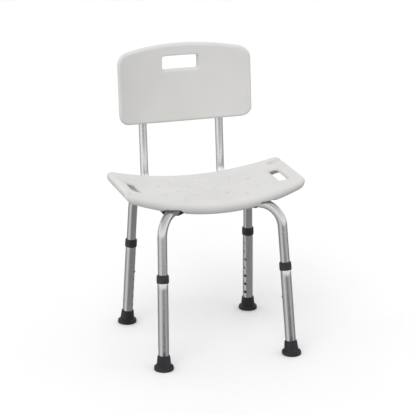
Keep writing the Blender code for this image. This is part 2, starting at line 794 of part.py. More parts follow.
def make_leg(leg):
    bore = UPPER_LEG_R - WALL
    socket = pivot(f"socket_axis_{leg.name}", leg.from_hub(SOCKET_S))
    make_upper_leg(leg, socket)
    slide = pivot(f"slide_axis_{leg.name}", leg.along(COLLAR_L))
    make_lower_leg(leg, slide)
    make_foot(leg, slide)
    height_button = leg.along(BUTTON_L)
    press = pivot(f"height_button_axis_{leg.name}", height_button)
    name = f"height_button_{leg.name}"
    make_snap_clip(name, height_button, leg.rise, leg.faces_in, bore, OUTER_TUBE_R, press)
    socket_button = leg.from_hub(SOCKET_BUTTON_S)
    press = pivot(f"socket_button_axis_{leg.name}", socket_button)
    name = f"socket_button_{leg.name}"
    make_snap_clip(name, socket_button, leg.inward, -UP, bore, OUTER_TUBE_R, press)


# ================================================================ backrest
def back_outline():
    half_s = BACK_H / 2
    points = refined(rounded_rectangle(BACK_HALF_W, half_s, BACK_CORNER_R), OUTLINE_STEP)
    shaped = []
    for x, s in points:
        bow = 1 - (x / BACK_HALF_W) ** 2
        if abs(s) > half_s - BACK_CORNER_R:
            s += bow * (BACK_ARCH if s > 0 else -BACK_SAG)
        shaped.append((x, s + half_s))
    return shaped


def back_handle_cutter():
    half_x, half_s = BACK_HANDLE_HALF
    past = BACK_CURVE + CUT_PAST
    levels = ((-past, 2 * BACK_HANDLE_FLARE), (-BACK_T / 2, BACK_HANDLE_FLARE), (-BACK_T / 4, 0), (past, 0))
    rings = []
    for depth, grow in levels:
        outline = rounded_rectangle(half_x + grow, half_s + grow, BACK_HANDLE_CORNER_R + grow)
        outline = refined(outline, OUTLINE_STEP)
        rings.append([back_point(x, s + BACK_HANDLE_S, depth) for x, s in outline])
    return loft(rings)


def sleeve_axis(side, s):
    """A point on a post's axis, a distance s up the panel."""
    return post_point(side, BACK_Z + s * post_direction().z)


def back_screw_places():
    return [sleeve_axis(side, s) for side in (-1, 1) for s in BACK_SCREW_S]


def make_backrest(parent):
    mesh = slab(back_outline(), BACK_RIMS, BACK_T, (0, BACK_H / 2), back_point)
    back = add_piece("backrest", mesh, white_plastic, parent)
    lean = post_direction()
    for side in (-1, 1):
        length = SLEEVE_TOP_S - SLEEVE_FOOT_S
        profile = [(0, SLEEVE_R - 0.002), (0.003, SLEEVE_R)]
        profile += [(length - 0.006, SLEEVE_R), (length, SLEEVE_R - 0.006)]
        cut(back, turned(sleeve_axis(side, SLEEVE_FOOT_S), lean, profile), "UNION")
    for side in (-1, 1):
        below = post_point(side, BACK_Z - CUT_PAST)
        length = (post_point(side, POST_TOP_Z) - below).length + CLEAR
        cut(back, rod(below, lean, length, POST_R + SLIDE_CLEAR, TUBE_SIDES))
    cut(back, back_handle_cutter())
    cut(back, rods(back_screw_places(), BACKWARD, CUT_PAST, SCREW_R + CLEAR, DRILL_SIDES))
    bearings = [place + BACKWARD * SPOTFACE_Y for place in back_screw_places()]
    cut(back, rods(bearings, BACKWARD, CUT_PAST, SCREW_HEAD_R + 2 * CLEAR))
    for number, bearing in enumerate(bearings, 1):
        make_screw(f"back_screw_{number}", bearing, -BACKWARD, SPOTFACE_Y - POST_R + WALL + 0.001, parent)


def make_post(name, side, parent):
    top = post_point(side, POST_TOP_Z)
    corner = post_point(side, RECEIVER_Z)
    end = Vector((side * POST_X, FEET_MID_Y + POST_END, RECEIVER_Z))
    stations, bend_side = bent_path(end, corner, top, POST_BEND_R)
    bore = POST_R - WALL
    mesh = bent_tube(stations, bend_side, POST_R, bore)
    post = add_piece(f"back_post_{name}", mesh, aluminium, parent)
    button = receiver_button(side)
    cut(post, rod(button, -UP, 2 * POST_R, BUTTON_HOLE_R, DRILL_SIDES))
    screws = [p for p in back_screw_places() if p.x * side > 0]
    cut(post, rods(screws, BACKWARD, 2 * POST_R, SCREW_R + CLEAR, DRILL_SIDES))
    press = pivot(f"back_button_axis_{name}", button)
    make_snap_clip(f"back_button_{name}", button, -BACKWARD, -UP, bore, RECEIVER_R, press)


def main():
    clear_scene()
    legs = {name: Leg(name) for name in LEG_PLACES}
    make_seat(legs)
    make_cross_frame(legs)
    make_plate()
    make_receivers()
    make_saddles(legs)
    make_socket_collars(legs)
    for leg in legs.values():
        make_leg(leg)
    back = pivot("backrest_slide_axis", Vector((0, FEET_MID_Y + RECEIVER_REAR, RECEIVER_Z)))
    make_backrest(back)
    for name, side in SIDES.items():
        make_post(name, side, back)


main()
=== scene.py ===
"""Looks of the shower chair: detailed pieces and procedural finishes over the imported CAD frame.

Units are metres, +Z is up and the chair faces -Y. "Left" and "right" are as seen by someone looking at the
chair's front. Every piece rides on the CAD body that it belongs to and takes the place of one CAD node. The
seat and the backrest are cut from finely divided solids and then remeshed, which rounds their edges as blow
moulding does. Tubes are made with their button holes in the mesh.
"""

import math

import bmesh
import bpy
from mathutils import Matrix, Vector


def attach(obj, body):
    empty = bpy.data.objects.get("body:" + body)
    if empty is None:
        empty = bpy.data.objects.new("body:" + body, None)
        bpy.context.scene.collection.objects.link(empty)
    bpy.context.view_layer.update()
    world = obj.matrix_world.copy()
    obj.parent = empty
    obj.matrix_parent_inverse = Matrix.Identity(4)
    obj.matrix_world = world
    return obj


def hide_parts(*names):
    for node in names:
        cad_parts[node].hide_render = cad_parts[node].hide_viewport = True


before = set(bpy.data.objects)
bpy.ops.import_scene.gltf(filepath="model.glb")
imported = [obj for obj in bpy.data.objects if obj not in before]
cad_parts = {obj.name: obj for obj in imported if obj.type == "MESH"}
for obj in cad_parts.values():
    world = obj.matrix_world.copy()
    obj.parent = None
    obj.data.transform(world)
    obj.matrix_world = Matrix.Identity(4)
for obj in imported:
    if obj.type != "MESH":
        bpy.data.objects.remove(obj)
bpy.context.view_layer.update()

# ---- overall layout
FEET_MID_Y = -0.0344  # middle of the four feet, from the middle of the whole chair's depth
FOOT_X = 0.1800
FOOT_Y = 0.1825
SPLAY_X = 0.036  # sideways lean of every leg, per unit of height
SPLAY_FRONT = 0.142
SPLAY_REAR = 0.086
ARM_Z = 0.405  # centre height of the cross frame
CLEAR = 0.0003
SLIDE_CLEAR = 0.0004

# ---- tubes
WALL = 0.0012
OUTER_TUBE_R = 0.0143
UPPER_LEG_R = 0.0127
POST_R = 0.0111
LEG_BEND_R = 0.0635
POST_BEND_R = 0.0570
TUBE_SIDES = 64
ROUND_SIDES = 32  # of small round shapes
BEND_SEGMENTS = 28
TUBE_CHAMFER = 0.0003
HOLE_CHAMFER = 0.00035
HOLE_MARGIN = 0.0013  # least width of the patch of mesh around a drilled hole
ROW_DIGITS = 7  # decimals that a row of mesh is told apart by

# ---- legs, distances up each leg from the floor
HOLE_PITCH = 0.0254
HOLES_ABOVE = 2
HOLES_BELOW = 4
BUTTON_L = 0.1584
UPPER_END_L = 0.1185
LOWER_START_L = 0.0104
COLLAR_L = 0.2334
COLLAR_H = 0.0220
COLLAR_R = 0.0165
SOCKET_COLLAR_R = 0.0158
COLLAR_LIP = 0.0040
SOCKET_S = 0.1480  # mouth of a socket, from the hub
STUB_S = 0.0700
FOOT_H = 0.0376
FOOT_FLANGE_R = 0.0263
FOOT_FLOOR = 0.0100

# ---- sprung buttons
BUTTON_R = 0.0037
BUTTON_PROUD = 0.0026
BUTTON_HOLE_R = 0.0041
LEAF_T = 0.0008
LEAF_HALF_W = 0.0040
LEAF_FRONT = 0.0110
LEAF_BACK = 0.0240
LEAF_FOLD = (0.0020, 0.0016)  # of the fold's corners: in from its end, and off its middle
LEAF_FOLD_R = 0.0040
SOCKET_BUTTON_S = 0.1080
RECEIVER_BUTTON_IN = 0.0250

# ---- seat
SEAT_HALF_W = 0.2490
SEAT_FRONT = 0.0960
SEAT_REAR = 0.1340
SEAT_BOW_FRONT = 0.0297
SEAT_BOW_REAR = 0.0234
SEAT_CORNER_R = 0.0190
SEAT_TOP_Z = 0.4290
SEAT_RISE = 0.0400
SEAT_T = 0.0330
SEAT_TAPER = 0.12  # share of its thickness that the seat loses towards its ends
SEAT_RIMS = (0.0110, 0.0170)  # inward reach of the rounded edge, below and above
HANDLE_X = 0.2025
HANDLE_Y = 0.0060
HANDLE_HALF = (0.0115, 0.0510)
HANDLE_CORNER_R = 0.0100
HANDLE_DISH = 0.0065  # depth of the soft dish around a handle opening
HANDLE_DISH_REACH = 0.0170
HANDLE_WEB = 0.0135  # depth at which the finger hollow under a handle starts
# The opening and the hollow, as (height from the sitting surface, growth past the opening's outline).
HANDLE_OPENING = ((0.020, 0.0100), (-0.002, 0.0060), (-0.0065, 0.0025), (-0.0100, 0), (-1.9 * SEAT_T, 0))
HANDLE_HOLLOW = ((-HANDLE_WEB, 0.010), (-HANDLE_WEB - 0.006, 0.016), (-2 * SEAT_T, 0.018))
DRAIN_R = 0.0036
# A drain hole and its dimple, as (height from the sitting surface, radius).
DRAIN_LEVELS = (
    (0.0040, 0.0110),
    (0, 0.0070),
    (-0.0016, 1.15 * DRAIN_R),
    (-0.0040, DRAIN_R),
    (-2 * SEAT_T, DRAIN_R),
)
DRAIN_SIDES = 24
DRAIN_Y = -0.0050
DRAIN_PITCH = (0.0425, 0.0380)
DRAIN_ROWS = 5
HOSE_GROOVE_R = 0.0130
HOSE_GROOVE_END_R = 0.7 * HOSE_GROOVE_R
HOSE_GROOVE_END_L = 0.0015
HOSE_GROOVE_DROP = 0.0030  # groove's axis below the sitting surface
HOSE_GROOVES = (  # side, place from the feet's middle, and inner end from the centre plane
    (1, 0.0930, 0.2060),
    (-1, -0.0760, 0.2260),
)
CHANNEL_R = OUTER_TUBE_R + SLIDE_CLEAR
CHANNEL_S = 0.2600
CHANNEL_DEPTH = 0.0400
CHANNEL_SLACK = 0.0020  # room past each end of a collar
CHANNEL_STEP = 0.0010  # length over which a channel changes width
CUT_PAST = 0.0300
NOTCH_R = SOCKET_COLLAR_R + SLIDE_CLEAR
STUB_CHANNEL_R = UPPER_LEG_R + 2 * SLIDE_CLEAR
RELIEF_S = (0.1180, 0.2200)
RELIEF_REACH = 0.0330
RELIEF_TOP = 0.0115
RELIEF_R = 0.0120
MOULDING_VOXEL = 0.0015  # size of the grid that the mouldings are remeshed on
MOULDING_SMOOTHING = 8
OUTLINE_STEP = 0.0040  # longest edge of a moulding's outline
OUTLINE_CORNER_STEPS = 12
FACE_RINGS = 24  # rings that divide a moulding's face, from near its middle to its rim
FACE_START = 0.02
FACE_END = 0.96
RIM_STEPS = 8  # steps from a moulding's face round to the middle of its edge

# ---- backrest
POST_X = 0.1110
POST_Y = 0.2380
POST_REF_Z = 0.4940
RECLINE = 0.0995
POST_TOP_Z = 0.7200
BACK_Y = 0.2450
BACK_Z = 0.5718
BACK_HALF_W = 0.1905
BACK_H = 0.1912
BACK_CURVE = 0.0520
BACK_ARCH = 0.0134
BACK_SAG = 0.0150
BACK_T = 0.0236
BACK_RIMS = (0.0070, 0.0100)  # in front and behind
BACK_CORNER_R = 0.0270
BACK_HANDLE_HALF = (0.0515, 0.0195)
BACK_HANDLE_S = 0.1510
BACK_HANDLE_FLARE = 0.0025
BACK_HANDLE_CORNER_R = 0.0060
SLEEVE_R = 0.0138
SLEEVE_FOOT_S = -0.0060
SLEEVE_TOP_S = 0.1640
SLEEVE_MOUTH = ((0, 0.002), (0.003, 0))  # along from its foot, and off its radius
SLEEVE_CROWN = ((0.008, 0), (0.003, 0.002), (0, 0.007))  # short of its top, and off its radius
BACK_SCREW_S = (0.0300, 0.1250)
SPOTFACE_Y = SLEEVE_R - 0.0010  # bearing of a screw's head, behind the post's centre line
SPOTFACE_R = 0.0052
SCREW_PAST_WALL = 0.0010

# ---- underframe
RECEIVER_R = UPPER_LEG_R
RECEIVER_Z = 0.3724
RECEIVER_FRONT = 0.0200
RECEIVER_REAR = 0.1500
POST_END = 0.0420
PLATE_HALF = (0.1230, 0.0300)
PLATE_T = 0.0050
PLATE_CORNER_R = 0.0100
PLATE_BEVEL = 0.0005
COPE_HALF_L = 0.0600
SADDLE_S = 0.0820
SADDLE_HALF_L = 0.0100
SADDLE_T = 0.0020
SADDLE_EAR = 0.0150
SADDLE_SCREW_SHARE = 0.55  # how far out along an ear its screw is
SADDLE_BEVEL = 0.0004
SADDLE_EAR_Z = 0.3960
SADDLE_PAD_MARGIN = (0.0020, 0.0030)  # of a seat pad past the ears, along its arm and across it
SCREW_R = 0.0019
SCREW_HEAD_R = 0.0040
SCREW_HEAD_H = 0.0022
SCREW_LENGTH = 0.0120
SCREW_SLOT_HALF = (0.0022, 0.0004)
SCREW_SLOT_DEPTHS = (-0.0010, 0.0012)

# ---- camera and studio
CAMERA_PLACE = (-1.4947, -4.6880, 1.9464)
CAMERA_TARGET = (-0.0003, -0.0344, 0.3769)
CAMERA_LENS = 164.72
CAMERA_SENSOR = 36.0

# The studio. An azimuth is in degrees, 0 in front of the chair and 90 on its +X side.
FLOOR_R = 1000.0
STUDIO_POWER = 1.17
SKY_BRIGHTNESS = (1.08, 0.58)  # at the horizon and overhead
SUN_AZIMUTH = -36
SUN_ELEVATION = 52
SUN_POWER = 0.85
SUN_SPREAD = 40  # degrees across
STUDIO_CARDS = (  # azimuth, brightness
    (-180, 0.55),
    (-143, 0.22),
    (-73, 0.76),
    (-6, 0.02),
    (52, 0.42),
    (102, 0.22),
    (180, 0.55),
)
FLAG_X = (-0.300, 0.600)  # the grey card between the front and rear legs
FLAG_Y = -0.0300
FLAG_Z = (-0.350, 0.400)
FLAG_TONES = (0.36, 0.42)

LEG_PLACES = {
    "front_left": (-1, -1),
    "front_right": (1, -1),
    "rear_left": (-1, 1),
    "rear_right": (1, 1),
}
SIDES = {"left": -1, "right": 1}
STRAIGHT = math.radians(2)  # a corner that turns by less than twice this is left as it is
FILLET_SHARE = 0.45  # most of an edge that a fillet at one end of it may take
UP = Vector((0, 0, 1))
BACKWARD = Vector((0, 1, 0))


# ======== meshes
def new_object(name, mesh):
    item = bpy.data.objects.new(name, mesh)
    bpy.context.scene.collection.objects.link(item)
    return item


def mesh_from(bm):
    bmesh.ops.recalc_face_normals(bm, faces=bm.faces)
    mesh = bpy.data.meshes.new("shape")
    bm.to_mesh(mesh)
    bm.free()
    return mesh


def loft_into(bm, rings, loop=False):
    """Skins a row of rings. A loop joins the last ring to the first; otherwise both ends are capped."""
    rows = [[bm.verts.new(point) for point in ring] for ring in rings]
    pairs = list(zip(rows, rows[1:]))
    if loop:
        pairs.append((rows[-1], rows[0]))
    for lower, upper in pairs:
        for i in range(len(lower)):
            j = (i + 1) % len(lower)
            bm.faces.new((lower[i], lower[j], upper[j], upper[i]))
    if not loop:
        bm.faces.new(rows[0])
        bm.faces.new(rows[-1])


def loft(rings, loop=False):
    bm = bmesh.new()
    loft_into(bm, rings, loop)
    return mesh_from(bm)


def lofts(solids):
    """Several separate solids, each a row of rings, in one mesh."""
    bm = bmesh.new()
    for rings in solids:
        loft_into(bm, rings)
    return mesh_from(bm)


def across(direction):
    """A unit vector square to a direction."""
    helper = UP if abs(direction.z) < 0.9 else Vector((1, 0, 0))
    return direction.cross(helper).normalized()


def ring(centre, direction, side, radius, sides):
    other = direction.cross(side)
    angles = [math.tau * i / sides for i in range(sides)]
    return [centre + radius * (math.cos(a) * side + math.sin(a) * other) for a in angles]


def turned_rings(start, direction, profile, sides=TUBE_SIDES):
    """Rings of a turned shape, from a profile of (distance along the axis, radius)."""
    side = across(direction)
    return [ring(start + direction * along, direction, side, radius, sides) for along, radius in profile]


def rod_rings(start, direction, length, radius, sides=ROUND_SIDES):
    return turned_rings(start, direction, [(0, radius), (length, radius)], sides)


def filleted(points, radius, steps=4, closed=True):
    """A polygon of (u, v) points with its corners rounded by arcs, or by as much as their edges allow."""
    rounded = []
    count = len(points)
    for i, point in enumerate(points):
        here = Vector(point)
        before = Vector(points[i - 1]) - here
        after = Vector(points[(i + 1) % count]) - here
        half_turn = (math.pi - before.angle(after)) / 2
        open_end = not closed and i in (0, count - 1)
        if open_end or half_turn < STRAIGHT:
            rounded.append(point)
            continue
        reach = min(radius * math.tan(half_turn), FILLET_SHARE * before.length, FILLET_SHARE * after.length)
        first = here + before.normalized() * reach
        last = here + after.normalized() * reach
        for k in range(steps + 1):
            t = k / steps
            bend = first * (1 - t) ** 2 + here * 2 * t * (1 - t) + last * t ** 2
            rounded.append(tuple(bend))
    return rounded


def rounded_rectangle(half_x, half_y, radius, steps=8):
    """Corner arcs of a rounded rectangle, anticlockwise."""
    points = []
    for quarter, (sx, sy) in enumerate(((1, 1), (-1, 1), (-1, -1), (1, -1))):
        for i in range(steps + 1):
            angle = math.radians(90 * (quarter + i / steps))
            x = sx * (half_x - radius) + radius * math.cos(angle)
            y = sy * (half_y - radius) + radius * math.sin(angle)
            points.append((x, y))
    return points


def refined(points, longest):
    """The same closed outline with its long edges divided."""
    finer = []
    for i, (x, y) in enumerate(points):
        nx, ny = points[(i + 1) % len(points)]
        pieces = max(1, math.ceil(math.hypot(nx - x, ny - y) / longest))
        finer += [(x + (nx - x) * k / pieces, y + (ny - y) * k / pieces) for k in range(pieces)]
    return finer


def inset(points, distance):
    """An anticlockwise outline moved inwards."""
    moved = []
    count = len(points)
    for i, (x, y) in enumerate(points):
        before, after = points[i - 1], points[(i + 1) % count]
        tangent = Vector((after[0] - before[0], after[1] - before[1])).normalized()
        moved.append((x - tangent.y * distance, y + tangent.x * distance))
    return moved


def quarter_turn(steps):
    """Angles from 0 to 90 degrees."""
    return [math.radians(90 * step / steps) for step in range(steps + 1)]


def smoothstep(value, low, high):
    t = min(max((value - low) / (high - low), 0), 1)
    return t * t * (3 - 2 * t)


def bowed_outline(half, corner_r, bows, middle_v):
    """A finely divided rounded rectangle in (u, v) whose two long edges bow outwards, the lower one first."""
    half_u, half_v = half
    low_bow, high_bow = bows
    bowed = []
    for u, v in refined(rounded_rectangle(half_u, half_v, corner_r, OUTLINE_CORNER_STEPS), OUTLINE_STEP):
        share = smoothstep(abs(v), half_v - 2 * corner_r, half_v - corner_r / 2)
        bow = share * (1 - (u / half_u) ** 2)
        bowed.append((u, v + bow * (high_bow if v > 0 else -low_bow) + middle_v))
    return bowed


def slab(outline, rims, thickness, middle, place):
    """A finely divided curved plate with rounded edges. place(u, v, w) puts a point of it in the world."""
    rings = []
    half = thickness / 2
    fractions = [FACE_START + (FACE_END - FACE_START) * k / FACE_RINGS for k in range(FACE_RINGS + 1)]
    low, high = rims

    def flat_rings(w, rim, order):
        inner = inset(outline, rim)
        for fraction in order:
            points = [(middle[0] + (u - middle[0]) * fraction, middle[1] + (v - middle[1]) * fraction)
                      for u, v in inner]
            rings.append((w, points))

    flat_rings(-half, low, fractions)
    for step in range(-RIM_STEPS, RIM_STEPS + 1):
        angle = math.radians(90 * step / RIM_STEPS)
        reach = high if step > 0 else low
        rings.append((half * math.sin(angle), inset(outline, reach * (1 - math.cos(angle)))))
    flat_rings(half, high, reversed(fractions))
    return loft([[place(u, v, w) for u, v in points] for w, points in rings])


def cut(item, mesh, operation="DIFFERENCE"):
    """Cuts or joins a mesh into an object for good."""
    tool = new_object("tool", mesh)
    modifier = item.modifiers.new("cut", "BOOLEAN")
    modifier.operation = operation
    modifier.solver = "EXACT"
    modifier.object = tool
    keep_modifiers(item)
    bpy.data.objects.remove(tool)


def keep_modifiers(item):
    """Turns an object's modified shape into its own mesh."""
    bpy.context.view_layer.update()
    shaped = bpy.data.meshes.new_from_object(item.evaluated_get(bpy.context.evaluated_depsgraph_get()))
    item.modifiers.clear()
    item.data = shaped


def moulded(item):
    """Remeshes a cut solid on a fine grid and relaxes it, so that all its edges come out rounded."""
    remesh = item.modifiers.new("remesh", "REMESH")
    remesh.mode = "VOXEL"
    remesh.voxel_size = MOULDING_VOXEL * 1
    relax = item.modifiers.new("relax", "SMOOTH")
    relax.factor = 0.5
    relax.iterations = MOULDING_SMOOTHING
    keep_modifiers(item)


def bevelled(item, width, segments=3):
    bevel = item.modifiers.new("bevel", "BEVEL")
    bevel.width = width
    bevel.segments = segments
    bevel.limit_method = "ANGLE"
    bevel.angle_limit = math.radians(40)
    keep_modifiers(item)


def dress(item, node, body, finish, flat_angle=None):
    """Gives a finished piece its finish and its body, and hides the CAD node that it stands in for."""
    item.data.shade_smooth()
    if flat_angle:
        item.data.set_sharp_from_angle(angle=math.radians(flat_angle))
    item.data.materials.clear()
    item.data.materials.append(finish_of(finish))
    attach(item, body)
    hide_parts(node)
    return item


# ======== finishes
NOISE_SPAN = (0.3, 0.7)  # the part of a noise's range that a tone or a sheen is spread over


def plug(tree, socket, value):
    """Gives a node's input the output of another node, or a plain value."""
    if isinstance(value, bpy.types.NodeSocket):
        tree.links.new(value, socket)
    else:
        socket.default_value = value


def color_ramp(tree, value, stops, blend="LINEAR"):
    """Turns a value into a colour, from (position, colour) stops."""
    node = tree.nodes.new("ShaderNodeValToRGB")
    node.color_ramp.interpolation = blend
    elements = node.color_ramp.elements
    for number, (position, color) in enumerate(stops):
        if number == len(elements):
            elements.new(position)
        elements[number].position = position
        elements[number].color = (*color, 1)
    tree.links.new(value, node.inputs["Fac"])
    return node.outputs["Color"]


class Finish:
    """A procedural material under construction. Inputs are named with _ for a space."""

    def __init__(self, name):
        self.material = bpy.data.materials.new(name)
        self.material.use_nodes = True
        self.tree = self.material.node_tree

    def feed(self, node, inputs):
        for name, value in inputs.items():
            plug(self.tree, node.inputs[name.replace("_", " ")], value)
        return node

    def node(self, kind, **inputs):
        return self.feed(self.tree.nodes.new("ShaderNode" + kind), inputs)

    def done(self, **inputs):
        """The material, with these inputs for its shader."""
        self.feed(self.tree.nodes["Principled BSDF"], inputs)
        return self.material

    def place(self):
        """Position on the piece, in metres."""
        return self.node("TexCoord").outputs["Object"]

    def along_grain(self, round_scale, long_scale):
        """Position around and along a tube, for streaks that follow it."""
        grain = self.node("Attribute")
        grain.attribute_name = "grain"
        scale = (round_scale, round_scale, long_scale)
        return self.node("Mapping", Vector=grain.outputs["Vector"], Scale=scale).outputs["Vector"]

    def noise(self, place, scale, detail):
        return self.node("TexNoise", Vector=place, Scale=scale, Detail=detail).outputs["Fac"]

    def cells(self, place, scale):
        node = self.node("TexVoronoi", Vector=place, Scale=scale)
        node.feature = "SMOOTH_F1"
        return node.outputs["Distance"]

    def ramp(self, value, dark, light):
        return color_ramp(self.tree, value, zip(NOISE_SPAN, (dark, light)))

    def span(self, value, low, high):
        start, end = NOISE_SPAN
        node = self.node("MapRange", Value=value, From_Min=start, From_Max=end, To_Min=low, To_Max=high)
        return node.outputs["Result"]

    def bump(self, value, strength, distance, **under):
        node = self.node("Bump", Height=value, Strength=strength, Distance=distance, **under)
        return node.outputs["Normal"]


def white_plastic(name):
    """Matt moulded plastic: a fine pebbled grain, the faint waves of blow moulding, and an uneven sheen."""
    finish = Finish(name)
    place = finish.place()
    waves = finish.bump(finish.noise(place, 16, 1), 0.25, 0.0012)
    return finish.done(
        Base_Color=finish.ramp(finish.noise(place, 7, 3), (0.665, 0.659, 0.645), (0.710, 0.703, 0.688)),
        Roughness=finish.span(finish.noise(place, 45, 4), 0.40, 0.52),
        Normal=finish.bump(finish.cells(place, 900), 0.10, 0.0003, Normal=waves),
        IOR=1.49,
    )


def drawn_aluminium(name, dark, light):
    """Anodised drawn tube: die lines along it, and a slightly uneven satin."""
    finish = Finish(name)
    fine = finish.noise(finish.along_grain(26, 0.9), 1, 3)
    broad = finish.noise(finish.along_grain(4, 3), 1, 2)
    return finish.done(
        Base_Color=finish.ramp(fine, dark, light),
        Roughness=finish.span(broad, 0.22, 0.30),
        Normal=finish.bump(fine, 0.10, 0.0002),
        Metallic=1.0,
    )


def satin_aluminium(name):
    """The legs' and the underframe's tubes, in a darker tone than the back posts."""
    return drawn_aluminium(name, (0.56, 0.565, 0.575), (0.68, 0.685, 0.69))


def bright_aluminium(name):
    """The back posts' tubes, in a paler tone than the legs."""
    return drawn_aluminium(name, (0.82, 0.825, 0.83), (0.92, 0.92, 0.92))


def mottled(name, tone, sheen, marks, metallic=0.0):
    """A finish from three noises, each a scale and a detail and then what it drives.

    The tone goes from dark to light, the sheen's roughness from low to high, and the marks have a strength
    and a depth.
    """
    finish = Finish(name)
    place = finish.place()
    return finish.done(
        Base_Color=finish.ramp(finish.noise(place, *tone[:2]), *tone[2:]),
        Roughness=finish.span(finish.noise(place, *sheen[:2]), *sheen[2:]),
        Normal=finish.bump(finish.noise(place, *marks[:2]), *marks[2:]),
        Metallic=metallic,
    )


def sheet_aluminium(name):
    """Flat mill-finish aluminium, brushed across."""
    tone = (60, 4, (0.55, 0.555, 0.565), (0.66, 0.665, 0.67))
    return mottled(name, tone, (25, 3, 0.32, 0.45), (900, 2, 0.10, 0.0002), 1.0)


def black_plastic(name):
    """Injection-moulded black plastic with a spark-eroded texture."""
    tone = (70, 3, (0.016, 0.016, 0.017), (0.030, 0.030, 0.031))
    return mottled(name, tone, (120, 3, 0.40, 0.55), (1500, 2, 0.35, 0.0002))


def black_rubber(name):
    """Dull rubber with a grey bloom."""
    tone = (55, 5, (0.008, 0.008, 0.012), (0.022, 0.023, 0.030))
    return mottled(name, tone, (90, 3, 0.55, 0.75), (800, 3, 0.30, 0.0003))


def brass(name):
    """Spring brass, brushed, with a little tarnish."""
    tone = (220, 4, (0.36, 0.21, 0.13), (0.54, 0.35, 0.24))
    return mottled(name, tone, (400, 3, 0.28, 0.45), (1600, 2, 0.15, 0.0001), 1.0)


def zinc_steel(name):
    """Zinc-plated steel, faintly mottled."""
    tone = (350, 4, (0.42, 0.43, 0.45), (0.58, 0.59, 0.62))
    return mottled(name, tone, (500, 3, 0.30, 0.45), (2200, 2, 0.12, 0.0001), 1.0)


FINISHES = {}


def finish_of(make):
    """One material for each kind of finish, made when it is first asked for."""
    if make.__name__ not in FINISHES:
        FINISHES[make.__name__] = make(make.__name__)
    return FINISHES[make.__name__]


# ======== shared geometry
class Leg:
    """The line of one leg: up from its foot, then inwards along its socket to the hub."""

    def __init__(self, name):
        self.name = name
        sx, sy = LEG_PLACES[name]
        splay_y = SPLAY_FRONT if sy < 0 else SPLAY_REAR
        self.foot = Vector((sx * FOOT_X, FEET_MID_Y + sy * FOOT_Y, 0))
        self.rise = Vector((-sx * SPLAY_X, -sy * splay_y, 1)).normalized()
        self.corner = self.foot + self.rise * (ARM_Z / self.rise.z)
        self.inward = (HUB - self.corner).normalized()
        self.outward = -self.inward
        self.across_arm = across(self.outward)
        self.faces_in = (self.inward - self.inward.dot(self.rise) * self.rise).normalized()
        self.upper_body = f"leg_{name}"
        self.lower_body = f"leg_extension_{name}"

    def along(self, distance):
        return self.foot + self.rise * distance

    def from_hub(self, distance):
        return HUB + self.outward * distance

    def section_at(self, distance, section):
        """A section across the socket's line, from (across, height) points."""
        return [self.from_hub(distance) + self.across_arm * u + UP * v for u, v in section]


def hub_place():
    front = -(FOOT_Y - SPLAY_FRONT * ARM_Z)
    rear = FOOT_Y - SPLAY_REAR * ARM_Z
    return Vector((0, FEET_MID_Y + (front + rear) / 2, ARM_Z))


HUB = hub_place()


class Line:
    """A tube's centre line, straight or turning once on an arc, with a frame at each distance along it."""

    def __init__(self, start, end, corner=None, bend=0.0):
        self.start = start
        self.inward = ((corner or end) - start).normalized()
        self.arc_start = math.inf
        self.breaks = []
        if corner is None:
            self.length = (end - start).length
            self.side = across(self.inward)
            return
        self.bend = bend
        self.outward = (end - corner).normalized()
        turn = self.inward.angle(self.outward)
        self.side = self.inward.cross(self.outward).normalized()
        self.toward = self.side.cross(self.inward)
        reach = bend * math.tan(turn / 2)
        self.arc_start = (corner - start).length - reach
        self.arc_end = self.arc_start + bend * turn
        self.arc_end_place = corner + self.outward * reach
        self.middle = corner - self.inward * reach + self.toward * bend
        self.length = self.arc_end + (end - corner).length - reach
        self.breaks = [self.arc_start + bend * turn * k / BEND_SEGMENTS for k in range(BEND_SEGMENTS + 1)]

    def at(self, distance):
        """The point and direction at a distance along the line."""
        if distance <= self.arc_start:
            return self.start + self.inward * distance, self.inward
        if distance >= self.arc_end:
            return self.arc_end_place + self.outward * (distance - self.arc_end), self.outward
        angle = (distance - self.arc_start) / self.bend
        direction = self.inward * math.cos(angle) + self.toward * math.sin(angle)
        return self.middle - self.side.cross(direction) * self.bend, direction

    def angle_of(self, distance, facing):
        """The angle around the line of a way that something faces."""
        direction = self.at(distance)[1]
        return math.atan2(facing.dot(direction.cross(self.side)), facing.dot(self.side))

    def distance_to(self, place):
        """How far along the line a point on one of its straight ends is."""
        along = (place - self.start).dot(self.inward)
        if along <= self.arc_start:
            return along
        return self.arc_end + (place - self.arc_end_place).dot(self.outward)


